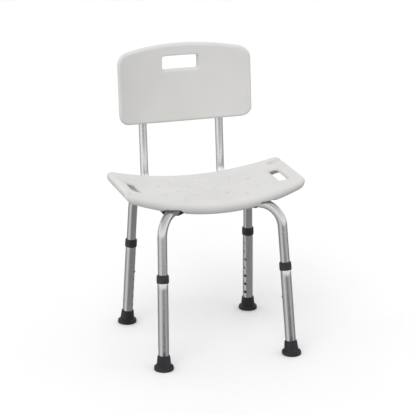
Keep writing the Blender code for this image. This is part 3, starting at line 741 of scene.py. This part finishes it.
class TubeMesh:
    """A tube's mesh, with clean quads around each drilled hole and its grain stored on its points."""

    def __init__(self, line, outer, inner, holes=()):
        self.line = line
        self.column = math.tau / TUBE_SIDES
        self.points = []
        self.grain = []
        self.faces = []
        self.holes = [self.hole(outer, *hole) for hole in holes]
        self.rows = self.row_places()
        for hole in self.holes:
            hole["row"] = self.rows.index(hole["places"][0])
        walls = [self.wall(radius) for radius in (outer, inner)]
        for row, distance in ((0, 0.0), (-1, line.length)):
            radii = (outer - TUBE_CHAMFER, inner + TUBE_CHAMFER)
            edges = [self.add_ring(distance, radius) for radius in radii]
            self.bridge(walls[0][row], *edges, walls[1][row])
        for hole in self.holes:
            self.line_hole(hole, walls, outer, inner)

    def hole(self, outer, place, facing, radius):
        """A hole's place on the unrolled tube, and the square patch of mesh cells that makes room for it."""
        distance = self.line.distance_to(place)
        angle = self.line.angle_of(distance, facing)
        step = outer * self.column
        reach = math.ceil((radius + HOLE_MARGIN) / step)
        places = [round(distance + k * step, ROW_DIGITS) for k in range(-reach, reach + 1)]
        return {
            "s": distance,
            "angle": angle,
            "r": radius,
            "reach": reach,
            "column": round(angle / self.column),
            "places": places,
        }

    def row_places(self):
        """Distances of the mesh's rows: the ends, the bend, and the patches around holes."""
        patches = [hole["places"] for hole in self.holes]
        places = [TUBE_CHAMFER, self.line.length - TUBE_CHAMFER, *self.line.breaks]
        places = [p for p in places if not any(patch[0] < p < patch[-1] for patch in patches)]
        return sorted({round(p, ROW_DIGITS) for p in sum(patches, places)})

    def skipped_cells(self):
        """The mesh cells that a wall leaves out around its holes."""
        return {
            (hole["row"] + along, (hole["column"] + around) % TUBE_SIDES)
            for hole in self.holes
            for along in range(2 * hole["reach"])
            for around in range(-hole["reach"], hole["reach"])
        }

    def add(self, distance, angle, radius):
        centre, direction = self.line.at(distance)
        side = self.line.side
        other = direction.cross(side)
        self.points.append(centre + radius * (math.cos(angle) * side + math.sin(angle) * other))
        self.grain.append((math.cos(angle), math.sin(angle), distance))
        return len(self.points) - 1

    def add_ring(self, distance, radius):
        return [self.add(distance, k * self.column, radius) for k in range(TUBE_SIDES)]

    def bridge(self, *rings):
        """Joins each ring to the next with quads."""
        for first, second in zip(rings, rings[1:]):
            for i in range(len(first)):
                j = (i + 1) % len(first)
                self.faces.append((first[i], first[j], second[j], second[i]))

    def wall(self, radius):
        rows = [self.add_ring(place, radius) for place in self.rows]
        skipped = self.skipped_cells()
        for i, (first, second) in enumerate(zip(rows, rows[1:])):
            for j in range(TUBE_SIDES):
                k = (j + 1) % TUBE_SIDES
                if (i, j) not in skipped:
                    self.faces.append((first[j], first[k], second[k], second[j]))
        return rows

    def hole_ring(self, hole, directions, hole_radius, tube_radius):
        points = []
        for direction in directions:
            turn = math.asin(hole_radius * math.cos(direction) / tube_radius)
            along = hole["s"] + hole_radius * math.sin(direction)
            points.append(self.add(along, hole["angle"] + turn, tube_radius))
        return points

    def line_hole(self, hole, walls, outer, inner):
        """Joins a hole's lining, with a small chamfer at each mouth, to the edges of its patches."""
        reach = hole["reach"]
        run = range(-reach, reach)
        steps = [(k, -reach) for k in run] + [(reach, k) for k in run]
        steps += [(-k, reach) for k in run] + [(-reach, -k) for k in run]
        edges = []
        for rows in walls:
            edges.append([rows[hole["row"] + reach + along][(hole["column"] + around) % TUBE_SIDES]
                          for around, along in steps])
        directions = [math.atan2(along, around) for around, along in steps]
        bore, mouth, chamfer = hole["r"], hole["r"] + HOLE_CHAMFER, HOLE_CHAMFER
        lining = ((mouth, outer), (bore, outer - chamfer), (bore, inner + chamfer), (mouth, inner))
        rings = [self.hole_ring(hole, directions, *radii) for radii in lining]
        self.bridge(edges[0], *rings, edges[1])

    def mesh(self):
        mesh = bpy.data.meshes.new("tube")
        mesh.from_pydata(self.points, [], self.faces)
        grain = mesh.attributes.new("grain", "FLOAT_VECTOR", "POINT")
        grain.data.foreach_set("vector", [value for point in self.grain for value in point])
        bm = bmesh.new()
        bm.from_mesh(mesh)
        return mesh_from(bm)


def add_tube(node, body, line, outer, holes=(), metal=satin_aluminium):
    item = new_object(f"{node}_tube", TubeMesh(line, outer, outer - WALL, holes).mesh())
    return dress(item, node, body, metal, flat_angle=50)


def seat_top(x):
    return SEAT_TOP_Z + SEAT_RISE * (x / SEAT_HALF_W) ** 2


def post_point(side, z):
    return Vector((side * POST_X, FEET_MID_Y + POST_Y + (z - POST_REF_Z) * RECLINE, z))


def post_direction():
    return Vector((0, RECLINE, 1)).normalized()


def back_point(x, s, w):
    lean = post_direction()
    depth = FEET_MID_Y + BACK_Y - BACK_CURVE * (x / BACK_HALF_W) ** 2
    return Vector((x, depth + s * lean.y + w, BACK_Z + s * lean.z))


# ======== seat
def seat_outline():
    half_y = (SEAT_FRONT + SEAT_REAR) / 2
    bows = (SEAT_BOW_FRONT, SEAT_BOW_REAR)
    return bowed_outline((SEAT_HALF_W, half_y), SEAT_CORNER_R, bows, seat_middle_y())


def seat_middle_y():
    return FEET_MID_Y + (SEAT_REAR - SEAT_FRONT) / 2


def handle_distance(x, y):
    """How far a point of the seat is outside the nearer handle opening."""
    half_x, half_y = HANDLE_HALF
    dx = abs(abs(x) - HANDLE_X) - half_x + HANDLE_CORNER_R
    dy = abs(y - FEET_MID_Y - HANDLE_Y) - half_y + HANDLE_CORNER_R
    return math.hypot(max(dx, 0), max(dy, 0)) - HANDLE_CORNER_R


def drain_places():
    """A staggered lattice of drain holes around the middle of the seat."""
    places = []
    for row in range(DRAIN_ROWS):
        y = FEET_MID_Y + DRAIN_Y + (row - DRAIN_ROWS // 2) * DRAIN_PITCH[1]
        columns = (-2, 0, 2) if row % 2 == 0 else (-3, -1, 1, 3)
        places += [(column * DRAIN_PITCH[0], y) for column in columns]
    return places


def handle_rings(side, levels):
    """Rings of a cutter square to the seat at a handle, from (height, growth) levels."""
    x = side * HANDLE_X
    centre = Vector((x, FEET_MID_Y + HANDLE_Y, seat_top(x)))
    tilt = Vector((1, 0, 2 * SEAT_RISE * x / SEAT_HALF_W ** 2)).normalized()
    normal = tilt.cross(BACKWARD)
    half_x, half_y = HANDLE_HALF
    rings = []
    for height, grow in levels:
        outline = rounded_rectangle(half_x + grow, half_y + grow, HANDLE_CORNER_R + grow / 2)
        rings.append([centre + tilt * u + BACKWARD * v + normal * height for u, v in outline])
    return rings


def groove_rings(side, y, inner_x):
    start, end = [Vector((side * x, FEET_MID_Y + y, seat_top(x) - HOSE_GROOVE_DROP))
                  for x in (inner_x, SEAT_HALF_W + CUT_PAST)]
    length = (end - start).length
    profile = [(0, HOSE_GROOVE_END_R), (HOSE_GROOVE_END_L, HOSE_GROOVE_R), (length, HOSE_GROOVE_R)]
    return turned_rings(start, (end - start).normalized(), profile, ROUND_SIDES)


def drain_rings(x, y):
    """A drain hole with a soft dimple at its mouth."""
    side = Vector((1, 0, 0))
    return [ring(Vector((x, y, seat_top(x) + height)), UP, side, radius, DRAIN_SIDES)
            for height, radius in DRAIN_LEVELS]


def arch(radius, depth, steps=24):
    """Section of a channel: a half round over straight walls, as (across, height) points."""
    angles = [math.pi * i / steps for i in range(steps + 1)]
    half_round = [(radius * math.cos(a), radius * math.sin(a)) for a in angles]
    return half_round + [(-radius, -depth), (radius, -depth)]


def channel_cutter(leg, radius):
    """A channel for one line of the cross frame, wider at the collars and narrower past them."""
    mouth_s = SOCKET_S + CHANNEL_SLACK
    collar_s = SOCKET_S - COLLAR_H - CHANNEL_SLACK
    stations = [(-CHANNEL_S, STUB_CHANNEL_R), (-mouth_s - CHANNEL_STEP, STUB_CHANNEL_R), (-mouth_s, NOTCH_R)]
    stations += [(-collar_s, NOTCH_R), (-collar_s + CHANNEL_STEP, radius)]
    stations += [(-s, reach) for s, reach in reversed(stations)]
    return loft([leg.section_at(s, arch(reach, CHANNEL_DEPTH)) for s, reach in stations])


def relief_rings(leg):
    """A rounded relief in the seat's edge beside a stub, on the side of the edge's middle."""
    middle = RELIEF_REACH - RELIEF_R
    corner = [(middle + RELIEF_R * math.cos(a), RELIEF_TOP - RELIEF_R * (1 - math.sin(a)))
              for a in quarter_turn(10)]
    section = [(0, -CHANNEL_DEPTH), (RELIEF_REACH, -CHANNEL_DEPTH)] + corner + [(0, RELIEF_TOP)]
    if leg.across_arm.x * leg.outward.x > 0:
        section = [(-u, v) for u, v in reversed(section)]
    return [leg.section_at(s, section) for s in RELIEF_S]


def saddle_pad_rings(leg):
    """A block under the seat that a saddle's ears bear on."""
    length = SADDLE_HALF_L + SADDLE_PAD_MARGIN[0]
    width = CHANNEL_R + SADDLE_EAR + SADDLE_PAD_MARGIN[1]
    low = SADDLE_EAR_Z + CLEAR - ARM_Z
    high = SEAT_TOP_Z - SEAT_T / 2 - ARM_Z
    section = ((-width, low), (width, low), (width, high), (-width, high))
    return [leg.section_at(s, section) for s in (SADDLE_S - length, SADDLE_S + length)]


def add_seat(legs):
    centre = (0, seat_middle_y())
    half = SEAT_T / 2

    def place(x, y, w):
        dish = HANDLE_DISH * (1 - smoothstep(handle_distance(x, y), 0, HANDLE_DISH_REACH))
        below = (half - w) * (1 - SEAT_TAPER * (x / SEAT_HALF_W) ** 2)
        return Vector((x, y, seat_top(x) - below - dish * max(w / half, 0)))

    seat = new_object("seat_moulding", slab(seat_outline(), SEAT_RIMS, SEAT_T, centre, place))
    cut(seat, lofts([saddle_pad_rings(leg) for leg in legs.values()]), "UNION")
    cut(seat, channel_cutter(legs["front_left"], CHANNEL_R))
    cut(seat, channel_cutter(legs["front_right"], CHANNEL_R + CLEAR))
    recesses = [handle_rings(side, HANDLE_HOLLOW) for side in (-1, 1)]
    cut(seat, lofts([relief_rings(leg) for leg in legs.values()] + recesses))
    openings = [handle_rings(side, HANDLE_OPENING) for side in (-1, 1)]
    cut(seat, lofts(openings + [groove_rings(*groove) for groove in HOSE_GROOVES]))
    cut(seat, lofts([drain_rings(x, y) for x, y in drain_places()]))
    moulded(seat)
    dress(seat, "seat", "seat_frame", white_plastic)


# ======== cross frame
def plate_top():
    return ARM_Z - OUTER_TUBE_R - CLEAR


def add_cross_frame(legs):
    main = legs["front_left"]
    half = SOCKET_S - COLLAR_LIP - CLEAR
    holes = {name: (leg.from_hub(SOCKET_BUTTON_S), -UP, BUTTON_HOLE_R) for name, leg in legs.items()}
    through = Line(main.from_hub(half), main.from_hub(-half))
    through_holes = [holes["front_left"], holes["rear_right"]]
    add_tube("cross_tube_main", "seat_frame", through, OUTER_TUBE_R, through_holes)
    for name in ("front_right", "rear_left"):
        leg = legs[name]
        short = Line(HUB, leg.from_hub(half))
        tube = add_tube(f"cross_tube_{name}", "seat_frame", short, OUTER_TUBE_R, [holes[name]])
        cope_start = main.from_hub(COPE_HALF_L)
        cope = rod_rings(cope_start, main.inward, 2 * COPE_HALF_L, OUTER_TUBE_R + CLEAR, TUBE_SIDES)
        cut(tube, loft(cope))


def add_plate():
    half_x, half_y = PLATE_HALF
    outline = rounded_rectangle(half_x, half_y, PLATE_CORNER_R)
    rings = [[Vector((x, HUB.y + y, z)) for x, y in outline] for z in (plate_top() - PLATE_T, plate_top())]
    plate = new_object("underframe_plate_sheet", loft(rings))
    bevelled(plate, PLATE_BEVEL)
    dress(plate, "underframe_plate", "seat_frame", sheet_aluminium, flat_angle=30)


def receiver_point(side, y):
    return Vector((side * POST_X, FEET_MID_Y + y, RECEIVER_Z))


def receiver_hole(side):
    """The hole under a receiver, or under the post in it, that the back button comes through."""
    return receiver_point(side, RECEIVER_REAR - RECEIVER_BUTTON_IN), -UP, BUTTON_HOLE_R


def add_receivers():
    for name, side in SIDES.items():
        line = Line(receiver_point(side, RECEIVER_FRONT), receiver_point(side, RECEIVER_REAR))
        add_tube(f"receiver_{name}", "seat_frame", line, RECEIVER_R, [receiver_hole(side)])


def saddle_section():
    """A strap that passes under a tube, with two flat ears, as (across, height) points."""
    inner = OUTER_TUBE_R + CLEAR
    outer = inner + SADDLE_T
    ear_top = SADDLE_EAR_Z - ARM_Z
    ear_low = ear_top - SADDLE_T
    reach = outer + SADDLE_EAR
    steps = 24

    def underside(radius, height):
        start = math.asin(height / radius)
        angles = [start + (-math.pi - 2 * start) * i / steps for i in range(steps + 1)]
        return [(radius * math.cos(a), radius * math.sin(a)) for a in angles]

    upper = [(reach, ear_top)] + underside(inner, ear_top) + [(-reach, ear_top)]
    lower = [(reach, ear_low)] + underside(outer, ear_low) + [(-reach, ear_low)]
    return upper + lower[::-1]


def add_screw(node, body, seat_face, direction, grip):
    """A pan-head screw with a cross recess. seat_face is where its head bears."""
    start = seat_face - direction * (SCREW_HEAD_H + CLEAR)
    crown = [(SCREW_HEAD_H * (1 - math.sin(a)), SCREW_HEAD_R * math.cos(a)) for a in quarter_turn(8)[-2::-1]]
    profile = crown + [(SCREW_HEAD_H, SCREW_HEAD_R), (SCREW_HEAD_H, SCREW_R), (SCREW_HEAD_H + grip, SCREW_R)]
    screw = new_object(f"{node}_steel", loft(turned_rings(start, direction, profile, ROUND_SIDES)))
    side = across(direction)
    other = direction.cross(side)
    half_l, half_w = SCREW_SLOT_HALF
    corners = ((-half_l, -half_w), (half_l, -half_w), (half_l, half_w), (-half_l, half_w))
    for long_way, short_way in ((side, other), (other, side)):
        slot = [[start + direction * depth + long_way * a + short_way * b for a, b in corners]
                for depth in SCREW_SLOT_DEPTHS]
        cut(screw, loft(slot))
    dress(screw, node, body, zinc_steel, flat_angle=35)


def saddle_screw_places(leg):
    """Where the heads of a saddle's two screws bear, under its ears."""
    reach = OUTER_TUBE_R + SADDLE_T + SADDLE_EAR * SADDLE_SCREW_SHARE
    height = SADDLE_EAR_Z - SADDLE_T - ARM_Z
    return leg.section_at(SADDLE_S, [(side * reach, height) for side in (-1, 1)])


def add_saddles(legs):
    ends = (SADDLE_S - SADDLE_HALF_L, SADDLE_S + SADDLE_HALF_L)
    for name, leg in legs.items():
        strap = loft([leg.section_at(s, saddle_section()) for s in ends])
        saddle = new_object(f"seat_saddle_{name}_strap", strap)
        ears = saddle_screw_places(leg)
        bores = [rod_rings(ear - UP * SADDLE_T, UP, 4 * SADDLE_T, SCREW_R + CLEAR) for ear in ears]
        cut(saddle, lofts(bores))
        bevelled(saddle, SADDLE_BEVEL, 2)
        dress(saddle, f"seat_saddle_{name}", "seat_frame", sheet_aluminium, flat_angle=30)
        for number, ear in enumerate(ears, 1):
            add_screw(f"seat_screw_{name}_{number}", "seat_frame", ear, UP, SADDLE_T + SCREW_LENGTH)


def collar_profile(radius):
    """Section of a collar, as (distance, radius) points: a grooved ring that closes on the sliding tube."""
    grip = OUTER_TUBE_R + CLEAR
    lip = UPPER_LEG_R + SLIDE_CLEAR
    groove = 0.0005
    outside = [
        (0, grip), (0, radius - 0.0006), (0.0008, radius), (0.0150, radius), (0.0154, radius - groove),
        (0.0162, radius - groove), (0.0166, radius - 0.0001), (0.0196, radius - 0.0004),
        (COLLAR_H - 0.0006, lip + 0.42 * (radius - lip)), (COLLAR_H, lip + 0.18 * (radius - lip)),
        (COLLAR_H, lip), (COLLAR_H - COLLAR_LIP, lip), (COLLAR_H - COLLAR_LIP, grip),
    ]
    return filleted(outside, 0.0005, 3)


def add_collar(node, body, start, direction, radius):
    rings = turned_rings(start, direction, collar_profile(radius))
    collar = new_object(f"{node}_ring", loft(rings, loop=True))
    dress(collar, node, body, black_plastic, flat_angle=50)


# ======== sprung buttons
def ribbon(points, thickness):
    """A closed outline around an open line of (u, v) points."""
    left, right = [], []
    for i, (u, v) in enumerate(points):
        before = points[max(i - 1, 0)]
        after = points[min(i + 1, len(points) - 1)]
        tangent = Vector((after[0] - before[0], after[1] - before[1])).normalized()
        shift = tangent.orthogonal() * thickness / 2
        left.append((u + shift.x, v + shift.y))
        right.append((u - shift.x, v - shift.y))
    return left + right[::-1]


def add_clip(node, body, place, axis, faces, bore, outside):
    """A folded leaf spring inside a tube, with a domed button through the tube's wall."""
    high = math.sqrt(bore ** 2 - LEAF_HALF_W ** 2) - LEAF_T
    fold_u, fold_v = LEAF_FOLD[0] - LEAF_BACK, LEAF_FOLD[1]
    line = [(LEAF_FRONT, high), (-LEAF_FRONT, high), (fold_u, fold_v), (-LEAF_BACK, 0)]
    line += [(fold_u, -fold_v), (-LEAF_FRONT, -high), (0, -high)]
    side = axis.cross(faces).normalized()
    section = ribbon(filleted(line, LEAF_FOLD_R, 5, closed=False), LEAF_T)
    rings = []
    for w in (-LEAF_HALF_W, LEAF_HALF_W):
        rings.append([place + axis * u + faces * v + side * w for u, v in section])
    clip = new_object(f"{node}_clip", loft(rings))
    top = outside + BUTTON_PROUD
    dome = [(top - BUTTON_PROUD * (1 - math.sin(a)), BUTTON_R * math.cos(a)) for a in quarter_turn(9)[:-1]]
    mesh = loft(turned_rings(place, faces, [(high, BUTTON_R)] + dome, ROUND_SIDES))
    cut(clip, mesh, "UNION")
    dress(clip, node, body, brass, flat_angle=40)


# ======== legs
def foot_sections():
    """A foot's profile as (distance up the leg, radius, lean), from the middle of its tread and round."""
    tread = [(0.0012, 0.0005, 0.0)]
    for groove in range(4):
        start = 0.0035 + groove * 0.0052
        tread += [(0.0012, start, 0.0), (0, start + 0.0006, 0.0), (0, start + 0.0030, 0.0),
                  (0.0012, start + 0.0036, 0.0)]
    flange = [
        (0.0012, 0.0236, 0.0), (0.0001, 0.0240, 0.0), (0.0000, 0.0247, 0.0), (0.0006, 0.0256, 0.0),
        (0.0018, 0.0261, 0.0), (0.0036, FOOT_FLANGE_R, 0.0), (0.0062, FOOT_FLANGE_R, 0.02),
        (0.0080, 0.0260, 0.05), (0.0094, 0.0253, 0.1), (0.0103, 0.0243, 0.15), (0.0107, 0.0231, 0.2),
        (0.0107, 0.0219, 0.25), (0.0108, 0.0208, 0.3), (0.0114, 0.0199, 0.4), (0.0128, 0.0193, 0.6),
        (0.0155, 0.0190, 0.8), (0.0200, 0.0186, 1.0), (0.0270, 0.0179, 1.0),
        (FOOT_H - 0.0030, 0.0171, 1.0), (FOOT_H - 0.0012, 0.0168, 1.0), (FOOT_H - 0.0004, 0.0165, 1.0),
        (FOOT_H, 0.0159, 1.0),
    ]
    grip = OUTER_TUBE_R + CLEAR
    inside = [(FOOT_H, grip + 0.0005, 1.0), (FOOT_H - 0.0006, grip, 1.0), (FOOT_FLOOR, grip, 1.0)]
    return tread + flange + inside


def add_foot(leg):
    rings = []
    for along, radius, lean in foot_sections():
        direction = UP.lerp(leg.rise, lean).normalized()
        side = direction.cross(leg.faces_in).normalized()
        rings.append(ring(leg.along(along), direction, side, radius, TUBE_SIDES))
    foot = new_object(f"foot_{leg.name}_rubber", loft(rings))
    dress(foot, f"foot_{leg.name}", leg.lower_body, black_rubber, flat_angle=50)


def add_leg(leg):
    bore = UPPER_LEG_R - WALL
    button = leg.along(BUTTON_L)
    socket_button = leg.from_hub(SOCKET_BUTTON_S)
    bent = Line(leg.along(UPPER_END_L), leg.from_hub(STUB_S), leg.corner, LEG_BEND_R)
    holes = [(button, leg.faces_in, BUTTON_HOLE_R), (socket_button, -UP, BUTTON_HOLE_R)]
    add_tube(f"upper_leg_{leg.name}", leg.upper_body, bent, UPPER_LEG_R, holes)
    straight = Line(leg.along(LOWER_START_L), leg.along(COLLAR_L + COLLAR_H - COLLAR_LIP - CLEAR))
    steps = range(-HOLES_BELOW, HOLES_ABOVE + 1)
    holes = [(leg.along(BUTTON_L + step * HOLE_PITCH), leg.faces_in, BUTTON_HOLE_R) for step in steps]
    add_tube(f"lower_leg_{leg.name}", leg.lower_body, straight, OUTER_TUBE_R, holes)
    add_collar(f"leg_collar_{leg.name}", leg.lower_body, leg.along(COLLAR_L), leg.rise, COLLAR_R)
    mouth = leg.from_hub(SOCKET_S - COLLAR_H)
    add_collar(f"socket_collar_{leg.name}", "seat_frame", mouth, leg.outward, SOCKET_COLLAR_R)
    add_foot(leg)
    sprung = (
        ("height", button, leg.rise, leg.faces_in),
        ("socket", socket_button, leg.inward, -UP),
    )
    for kind, place, axis, faces in sprung:
        body = f"{kind}_snap_{leg.name}"
        add_clip(f"{kind}_button_{leg.name}", body, place, axis, faces, bore, OUTER_TUBE_R)


# ======== backrest
def back_outline():
    half_s = BACK_H / 2
    return bowed_outline((BACK_HALF_W, half_s), BACK_CORNER_R, (BACK_SAG, BACK_ARCH), half_s)


def back_handle_cutter():
    half_x, half_s = BACK_HANDLE_HALF
    past = BACK_CURVE + CUT_PAST
    levels = ((-past, 2 * BACK_HANDLE_FLARE), (-BACK_T / 2, BACK_HANDLE_FLARE), (-BACK_T / 4, 0), (past, 0))
    rings = []
    for depth, grow in levels:
        outline = rounded_rectangle(half_x + grow, half_s + grow, BACK_HANDLE_CORNER_R + grow)
        outline = refined(outline, 0.010)
        rings.append([back_point(x, s + BACK_HANDLE_S, depth) for x, s in outline])
    return loft(rings)


def sleeve_axis(side, s):
    return post_point(side, BACK_Z + s * post_direction().z)


def back_screw_places():
    return [sleeve_axis(side, s) for side in (-1, 1) for s in BACK_SCREW_S]


def add_backrest():
    mesh = slab(back_outline(), BACK_RIMS, BACK_T, (0, BACK_H / 2), back_point)
    back = new_object("backrest_moulding", mesh)
    lean = post_direction()
    length = SLEEVE_TOP_S - SLEEVE_FOOT_S
    profile = [(along, SLEEVE_R - less) for along, less in SLEEVE_MOUTH]
    profile += [(length - short, SLEEVE_R - less) for short, less in SLEEVE_CROWN]
    sleeves = [turned_rings(sleeve_axis(side, SLEEVE_FOOT_S), lean, profile) for side in (-1, 1)]
    cut(back, lofts(sleeves), "UNION")
    bores = []
    for side in (-1, 1):
        below = post_point(side, BACK_Z - CUT_PAST)
        depth = (post_point(side, POST_TOP_Z) - below).length + CLEAR
        bores.append(rod_rings(below, lean, depth, POST_R + SLIDE_CLEAR, TUBE_SIDES))
    cut(back, lofts(bores))
    cut(back, back_handle_cutter())
    bearings = [place + BACKWARD * SPOTFACE_Y for place in back_screw_places()]
    cut(back, lofts([rod_rings(place, BACKWARD, CUT_PAST, SPOTFACE_R) for place in bearings]))
    moulded(back)
    dress(back, "backrest", "backrest_frame", white_plastic)
    grip = SPOTFACE_Y - POST_R + WALL + SCREW_PAST_WALL
    for number, bearing in enumerate(bearings, 1):
        add_screw(f"back_screw_{number}", "backrest_frame", bearing, -BACKWARD, grip)


def add_posts():
    for name, side in SIDES.items():
        bend = post_point(side, RECEIVER_Z)
        line = Line(receiver_point(side, POST_END), post_point(side, POST_TOP_Z), bend, POST_BEND_R)
        holes = [receiver_hole(side)]
        holes += [(place, BACKWARD, SCREW_R + CLEAR) for place in back_screw_places() if place.x * side > 0]
        add_tube(f"back_post_{name}", "backrest_frame", line, POST_R, holes, bright_aluminium)
        bore = POST_R - WALL
        button = holes[0][0]
        add_clip(f"back_button_{name}", f"back_snap_{name}", button, -BACKWARD, -UP, bore, RECEIVER_R)


# ======== studio
def add_camera():
    data = bpy.data.cameras.new("view")
    data.sensor_width = CAMERA_SENSOR
    data.lens = CAMERA_LENS
    data.clip_end = 2 * FLOOR_R
    camera = bpy.data.objects.new("view", data)
    camera.location = CAMERA_PLACE
    aim = Vector(CAMERA_TARGET) - Vector(CAMERA_PLACE)
    camera.rotation_euler = aim.to_track_quat("-Z", "Y").to_euler()
    bpy.context.scene.collection.objects.link(camera)
    bpy.context.scene.camera = camera


def add_sun():
    """A broad soft light from a raised place. It leaves no glint on the tubes."""
    around, up = math.radians(SUN_AZIMUTH), math.radians(SUN_ELEVATION)
    away = Vector((math.sin(around) * math.cos(up), -math.cos(around) * math.cos(up), math.sin(up)))
    data = bpy.data.lights.new("sun", "SUN")
    data.energy = SUN_POWER
    data.angle = math.radians(SUN_SPREAD)
    sun = bpy.data.objects.new("sun", data)
    sun.rotation_euler = (-away).to_track_quat("-Z", "Y").to_euler()
    sun.visible_glossy = False
    bpy.context.scene.collection.objects.link(sun)


def add_stage_piece(name, bm, material, *hidden_from):
    """Puts a piece of the studio in place, unseen by the named kinds of ray."""
    item = new_object(name, mesh_from(bm))
    item.data.materials.append(material)
    for ray in hidden_from:
        setattr(item, f"visible_{ray}", False)


def add_floor():
    """A floor that only the camera sees: from below, the studio's cards light the chair instead."""
    finish = Finish("studio_floor")
    tone = finish.ramp(finish.noise(finish.place(), 3, 2), (0.97, 0.97, 0.97), (0.98, 0.98, 0.98))
    dull = finish.span(finish.noise(finish.place(), 8, 2), 0.60, 0.70)
    material = finish.done(Base_Color=tone, Roughness=dull)
    bm = bmesh.new()
    bmesh.ops.create_circle(bm, cap_ends=True, segments=96, radius=FLOOR_R)
    add_stage_piece("studio_floor", bm, material, "diffuse", "glossy", "shadow")


def add_flag():
    """A grey card between the front and rear legs, seen only in reflections, that darkens the rear legs."""
    finish = Finish("studio_flag")
    tone = finish.ramp(finish.noise(finish.place(), 5, 2), *((shade,) * 3 for shade in FLAG_TONES))
    bm = bmesh.new()
    left, right = FLAG_X
    low, high = FLAG_Z
    corners = ((left, low), (right, low), (right, high), (left, high))
    bm.faces.new([bm.verts.new((x, FLAG_Y, z)) for x, z in corners])
    add_stage_piece("studio_flag", bm, finish.done(Base_Color=tone), "camera", "diffuse", "shadow")


def add_world():
    """Even and pale above the horizon, with STUDIO_CARDS all round below it."""
    world = bpy.data.worlds.new("studio")
    world.use_nodes = True
    tree = world.node_tree
    background = tree.nodes["Background"]
    direction = tree.nodes.new("ShaderNodeSeparateXYZ")
    tree.links.new(tree.nodes.new("ShaderNodeTexCoord").outputs["Generated"], direction.inputs[0])

    def calculate(operation, *values):
        node = tree.nodes.new("ShaderNodeMath")
        node.operation = operation
        for socket, value in zip(node.inputs, values):
            plug(tree, socket, value)
        return node.outputs[0]

    toward_front = calculate("MULTIPLY", direction.outputs["Y"], -1)
    azimuth = calculate("ARCTAN2", direction.outputs["X"], toward_front)
    turn = calculate("MULTIPLY_ADD", azimuth, 1 / math.tau, 0.5)

    stops = [(degrees / 360 + 0.5, (shade,) * 3) for degrees, shade in STUDIO_CARDS]
    cards = color_ramp(tree, turn, stops, "EASE")
    stops = [(height, (shade,) * 3) for height, shade in enumerate(SKY_BRIGHTNESS)]
    sky = color_ramp(tree, direction.outputs["Z"], stops, "EASE")
    above = calculate("GREATER_THAN", direction.outputs["Z"], 0)
    mix = tree.nodes.new("ShaderNodeMixRGB")
    for socket, value in zip(mix.inputs, (above, cards, sky)):
        plug(tree, socket, value)
    tree.links.new(mix.outputs["Color"], background.inputs["Color"])
    background.inputs["Strength"].default_value = STUDIO_POWER
    bpy.context.scene.world = world


def add_studio():
    add_camera()
    add_floor()
    add_flag()
    add_world()
    add_sun()
    bpy.context.scene.view_settings.view_transform = "Standard"


# ======== the chair
def build_chair():
    legs = {name: Leg(name) for name in LEG_PLACES}
    add_seat(legs)
    add_cross_frame(legs)
    add_plate()
    add_receivers()
    add_saddles(legs)
    for leg in legs.values():
        add_leg(leg)
    add_backrest()
    add_posts()


add_studio()
build_chair()
